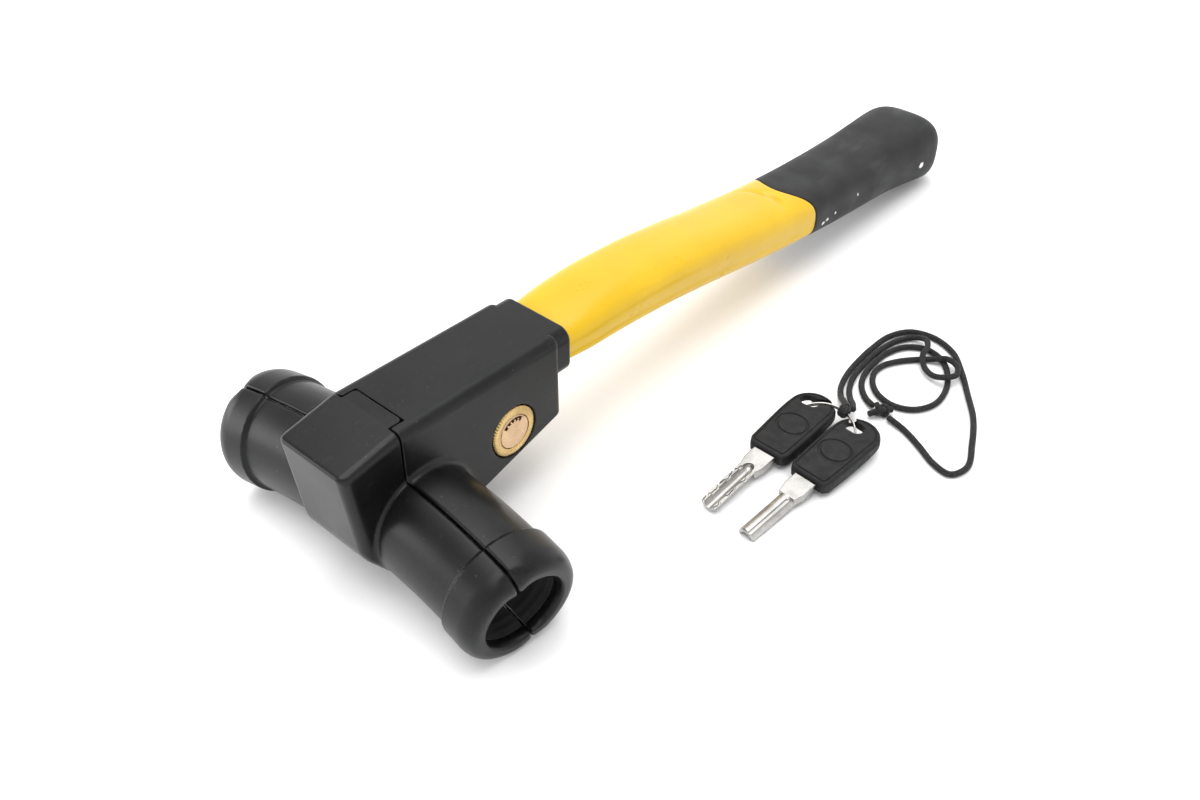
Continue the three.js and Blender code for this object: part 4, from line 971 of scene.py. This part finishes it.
def knot_field(x, y, z):
    """A pulled-tight overhand knot with two short cord ends."""
    t = np.linspace(0, 2 * math.pi, 60, endpoint=False)
    loops = np.stack([
        0.76 * (np.sin(t) + 2 * np.sin(2 * t)), 0.56 * (np.cos(t) - 2 * np.cos(2 * t)),
        -1.25 * np.sin(3 * t),
    ], 1) + KNOT
    loops[:, 2] = np.maximum(loops[:, 2], 1.2)
    field = np.inf
    for cx, cy, cz in loops:
        field = np.minimum(field, (x - cx) ** 2 + (y - cy) ** 2 + (z - cz) ** 2)
    field = np.sqrt(field) - CORD_RADIUS + 0.1
    offset = (x - KNOT[0], y - KNOT[1], z - KNOT[2])
    for degrees, length in ((-42, 4.3), (150, 5.0)):
        angle = math.radians(degrees)
        aim = np.array([-math.sin(angle), math.cos(angle), -0.12])
        far = sum(o * a for o, a in zip(offset, aim))
        near = np.clip(far, 0, length - 0.4)
        away = np.sqrt(sum((o - near * a) ** 2 for o, a in zip(offset, aim)))
        fray = 0.08 * np.cos(9 * x + 7 * y) * np.cos(8 * z)
        field = join(field, meet(away - CORD_RADIUS + fray, far - length, 0.4), 0.3)
    return np.maximum(field, 0.12 - z)


add_lanyard()

# ---------- moulded pieces of the lock ----------

dress(
    moulded("body_shell", body_field, (-67, -9, -21), (67, 66, 36), 0.5, from_lock),
    BLACK, "lock", "black_plastic", "body_housing",
)
dress(
    moulded("front_jaw_shell", jaw_field, (-67, -31, -24), (67, 7, 36), 0.5, from_lock),
    BLACK, "front_jaw", "black_plastic", "front_jaw_cover",
)


def add_liner(name, side, body, node):
    """A half pipe of ribbed rubber inside one jaw."""
    stations = np.linspace(-STEEL_END, STEEL_END, 180)
    half_turn = math.radians(87.5)
    turn = np.linspace(-half_turn, half_turn, 48)
    rings = []
    for station in stations:
        rib = 0.11 * (1 + np.cos(station * 2 * math.pi / 3.2)) * (abs(station) < STEEL_END - 1)
        profile = [(LINER_OUTER * math.cos(t), LINER_OUTER * math.sin(t)) for t in turn]
        inner = LINER_INNER + rib
        profile += [(inner * math.cos(t), inner * math.sin(t)) for t in turn[::-1]]
        rings.append([tube_point(station, side * u, v) for u, v in profile])
    piece = skin(name, from_lock(np.array(rings)), band=True)
    fix_faces(piece)
    dress(piece, LINER, body, "liner_rubber", node)


add_liner("rear_liner_ribbed", 1, "lock", "rear_jaw_liner")
add_liner("front_liner_ribbed", -1, "front_jaw", "front_jaw_liner")

# ---------- key cylinder ----------


def add_cylinder_ring():
    """A turned brass ring whose bevelled rim is knurled all round."""
    teeth, around = 54, 54 * 8
    angle = np.linspace(0, 2 * math.pi, around, endpoint=False)
    profile = [
        (PLUG_RADIUS + 0.08, 13.4, 0), (RING_RADIUS - 0.5, 13.4, 0),
        (RING_RADIUS - 0.05, 13.7, 1), (RING_RADIUS - 0.05, 14.9, 1),
        (RING_RADIUS - 0.3, 15.5, 1), (RING_RADIUS - 1.0, 15.85, 0.8),
        (RING_RADIUS - 1.7, 16.0, 0.25), (RING_RADIUS - 1.9, 16.0, 0),
        (RING_RADIUS - 2.0, 15.93, 0), (PLUG_RADIUS + 0.35, 15.93, 0),
        (PLUG_RADIUS + 0.2, 15.85, 0), (PLUG_RADIUS + 0.08, 15.6, 0),
    ]
    rings = []
    for radius, x, cut_share in profile:
        wave = np.abs(np.sin(angle * teeth / 2))
        depth = cut_share * 0.22 * (1 - wave)
        reach = radius - depth
        rings.append(np.stack([
            np.full(around, x) - 0.3 * depth,
            LOCK_Y + reach * np.cos(angle), LOCK_Z + reach * np.sin(angle),
        ], 1))
    piece = skin("cylinder_ring_knurled", from_lock(np.array(rings)), closed=True)
    fix_faces(piece)
    dress(piece, BRASS, "lock", "brass", "cylinder_ring")


add_cylinder_ring()
dress(
    moulded(
        "plug_with_keyway", plug_field, (-12.8, 32.1, 3.2), (16.1, 44.5, 15.6), 0.16, from_lock,
    ),
    ROSY_BRASS, "lock_plug", "brass", "cylinder_plug",
)

# ---------- handle ----------


def grip_line(x):
    """The grip's wavy edge: its place along the handle for a place across."""
    return GRIP_START - GRIP_WAVE * np.cos(math.pi * x / GRIP_WAVE_LENGTH)


def handle_ring(y, inset, follow, dent=0.0):
    """One section of the handle; follow bends it along the wavy edge of the grip."""
    angle = np.linspace(0, 2 * math.pi, HANDLE_SIDES, endpoint=False)
    cos, sin = np.cos(angle), np.sin(angle)
    shape_x = np.sign(cos) * np.abs(cos) ** (2 / HANDLE_POWER)
    shape_z = np.sign(sin) * np.abs(sin) ** (2 / HANDLE_POWER)
    at = y + follow * (grip_line(shape_x * 15.5) - GRIP_START)
    centre, width, height = handle_at(at)
    # A soft crease runs along each side, below its middle, and a scoop is thumbed into the top.
    side_turn = np.degrees(np.arcsin(np.clip(sin, -1, 1)))
    crease = dent * 0.45 * np.exp(-((side_turn + 6) / 7.0) ** 2)
    x = (width - inset - crease) * shape_x
    z = centre + (height - inset) * shape_z
    scoop_line = at - 191.0 + 0.05 * (x - 3.0) ** 2
    scoop = dent * 2.2 * np.exp(-((x - 3.0) / 6.5) ** 2 - (scoop_line / 1.7) ** 2)
    z = z - np.where(sin > 0, scoop, 0)
    return np.stack([x, at, z], 1)


def follow_at(y):
    """How far a section at y already bends along the grip's edge."""
    return float(ease(y, 150, 198) * (1 - ease(y, 214, 262)))


def rod_ring(y):
    """One section of the sleeve's bore."""
    angle = np.linspace(0, 2 * math.pi, HANDLE_SIDES, endpoint=False)
    centre = float(handle_at(y)[0])
    radius = ROD_RADIUS + 0.3
    return np.stack([
        radius * np.cos(angle), np.full(HANDLE_SIDES, float(y)), centre + radius * np.sin(angle),
    ], 1)


def add_sleeve():
    edge = GRIP_START - 0.15
    rows = [handle_ring(SLEEVE_FRONT, 0.9, 0), handle_ring(SLEEVE_FRONT + 0.1, 0.35, 0)]
    rows += [handle_ring(y, 0, follow_at(y), 1.0) for y in np.arange(61.0, 150, 2.5)]
    rows += [handle_ring(y, 0, follow_at(y), 1.0) for y in np.arange(150.0, edge - 0.7, 0.8)]
    rows += [handle_ring(edge - back, inset, 1) for back, inset in ((0.45, 0.05), (0.15, 0.22))]
    rows += [handle_ring(edge, 0.55, 1)]
    rows += [handle_ring(edge + 0.02, GRIP_WALL + 0.3, 1)]
    rows += [handle_ring(y, GRIP_WALL + 0.3, follow_at(y)) for y in np.arange(208.0, NECK_END, 4)]
    rows += [handle_ring(NECK_END, GRIP_WALL + 0.9, 0)]
    rows += [rod_ring(y) for y in np.arange(NECK_END, 60, -6)] + [rod_ring(SLEEVE_FRONT)]
    piece = skin("sleeve_moulded", from_lock(np.array(rows)), closed=True)
    fix_faces(piece)
    dress(piece, YELLOW, "lock", "yellow_plastic", "handle_sleeve")


def add_grip():
    edge = GRIP_START + 0.1
    rows = [handle_ring(NECK_END + 0.3, GRIP_WALL + 4, 0)]
    rows += [handle_ring(y, GRIP_WALL, follow_at(y)) for y in np.arange(NECK_END, 206, -3)]
    rows += [handle_ring(edge, inset, 1) for inset in (GRIP_WALL, 0.35)]
    rows += [handle_ring(edge + 0.15, 0.08, 1)]
    rows += [handle_ring(y, 0, follow_at(y)) for y in np.arange(edge + 0.4, 262, 1.2)]
    rows += [handle_ring(y, 0, 0) for y in np.arange(262.0, TIP_START, 1.5)]
    end = np.sin(np.linspace(0, math.pi / 2, 16)) * (HANDLE_END - TIP_START) + TIP_START
    rows += [handle_ring(y, 0, 0) for y in end]
    rows += [handle_ring(HANDLE_END, inset, 0) for inset in (0.8, 2.2, 4.5, 7.0)]
    piece = skin("grip_moulded", from_lock(np.array(rows)), close_first=True, close_last=True)
    fix_faces(piece)
    dress(piece, GRIP, "lock", "grip_rubber", "handle_grip")


add_sleeve()
add_grip()

# ---------- keys and split ring ----------


def add_key(name, key):
    """A key's bow and blade; the key that lies face down shows its milled trough."""
    def place(points):
        return from_floor(on_key(points, key))

    def bow(x, y, z):
        there = on_key(np.stack([np.ravel(x), np.ravel(y), np.ravel(z)], 1), key)
        gap = ring_clearance(*there.T).reshape(np.shape(x))
        return cut(key_bow_field(x, y, z), gap, 0.3)

    def blade(x, y, z):
        side = -1 if key["face_down"] else 1
        return key_blade_field(side * x, y, side * z, key["face_down"])

    dress(
        moulded(f"{name}_bow_moulded", bow, (-8.8, -0.2, -2.9), (8.8, 34.2, 2.9), 0.2, place),
        KEY_PLASTIC, name, "key_plastic", f"{name}_bow",
    )
    dress(
        moulded(f"{name}_blade_milled", blade, (-4.4, -30.2, -2.0), (4.4, 14.2, 2.0), 0.16, place),
        NICKEL, name, "nickel", f"{name}_blade",
    )


for key_name, key_place in KEYS.items():
    add_key(key_name, key_place)


def add_split_ring():
    """Two turns of spring wire side by side, which change sides over a short stretch."""
    turns = np.linspace(0.02, 1.98, 420)
    angle = turns * 2 * math.pi + math.radians(200)
    step = ease(turns, 0.88, 1.12) - 0.5
    wire = 0.42
    x, y = SPLIT_RING_RADIUS * np.cos(angle), SPLIT_RING_RADIUS * np.sin(angle)
    y, z = turned(y, step * (SPLIT_RING_WIRE + 0.06), SPLIT_RING_TILT)
    path = np.stack([x, y, z], 1) + RING_CENTRE
    piece = tube("split_ring_coil", from_floor(path) / MM, wire, 14)
    rescale(piece)
    dress(piece, NICKEL, "lock", "nickel", "split_ring")


add_split_ring()

# ---------- CAD nodes that stay ----------

CAD_LOOKS = {"body_base_cover": BLACK, "cylinder_body": BRASS}


def dress_cad_nodes():
    """The inner works: steel, but for the nodes named above."""
    for name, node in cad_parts.items():
        if node.hide_render:
            continue
        node.data.materials.clear()
        node.data.materials.append(CAD_LOOKS.get(name, STEEL))


dress_cad_nodes()

# ---------- studio ----------


def add_floor():
    """A wide sheet that bends up far behind the object."""
    across = np.linspace(-4, 4, 9)
    profile = [(y, 0) for y in (-3, -1, 0, 1, 2)]
    profile += [(2.0 + math.sin(t), 1 - math.cos(t)) for t in np.linspace(0.15, math.pi / 2, 10)]
    profile += [(3.0, 2.0), (3.0, 3.5)]
    points = [(x, y, z) for y, z in profile for x in across]
    count = len(across)
    starts = [row * count + i for row in range(len(profile) - 1) for i in range(count - 1)]
    faces = [(i, i + 1, i + count + 1, i + count) for i in starts]
    floor = mesh_object("studio_floor", points, faces)
    floor.data.materials.append(floor_paint())


def area_light(name, place, aim, size, power):
    data = bpy.data.lights.new(name, "AREA")
    data.shape, data.size, data.size_y = "RECTANGLE", size[0], size[1]
    data.energy = power
    light = bpy.data.objects.new(name, data)
    light.location = place
    light.rotation_mode = "QUATERNION"
    light.rotation_quaternion = (Vector(aim) - Vector(place)).to_track_quat("-Z", "Y")
    bpy.context.scene.collection.objects.link(light)


# The sky's level by height: a bright horizon, a dimmer band and a soft box straight above.
SKY = [(0.0, 0.34), (0.2, 0.34), (0.45, 0.22), (0.86, 0.2), (0.93, 1.0)]
SKY_STRENGTH = 4.4


def add_world():
    world = bpy.data.worlds.new("studio")
    world.use_nodes = True
    tree = world.node_tree
    direction = tree.nodes.new("ShaderNodeTexCoord").outputs["Generated"]
    split = tree.nodes.new("ShaderNodeSeparateXYZ")
    ramp = tree.nodes.new("ShaderNodeValToRGB")
    tree.links.new(direction, split.inputs["Vector"])
    tree.links.new(split.outputs["Z"], ramp.inputs["Fac"])
    ramp.color_ramp.elements.remove(ramp.color_ramp.elements[0])
    for height, level in SKY:
        stop = ramp.color_ramp.elements.new(height)
        stop.color = (level, level, level, 1)
    background = tree.nodes["Background"]
    tree.links.new(ramp.outputs["Color"], background.inputs["Color"])
    background.inputs["Strength"].default_value = SKY_STRENGTH
    bpy.context.scene.world = world


add_floor()
add_world()
area_light("key_light", (-0.5, 0.35, 1.1), (0, 0, 0), (0.9, 0.7), 3)
area_light("front_light", (-1.0, -0.8, 0.35), (0, -0.1, 0), (0.9, 0.5), 6.5)
bpy.context.scene.view_settings.view_transform = "Standard"

# ---------- size ----------


def corners(box):
    """A box's two corners as plain lists."""
    return [[float(value) for value in corner] for corner in box]
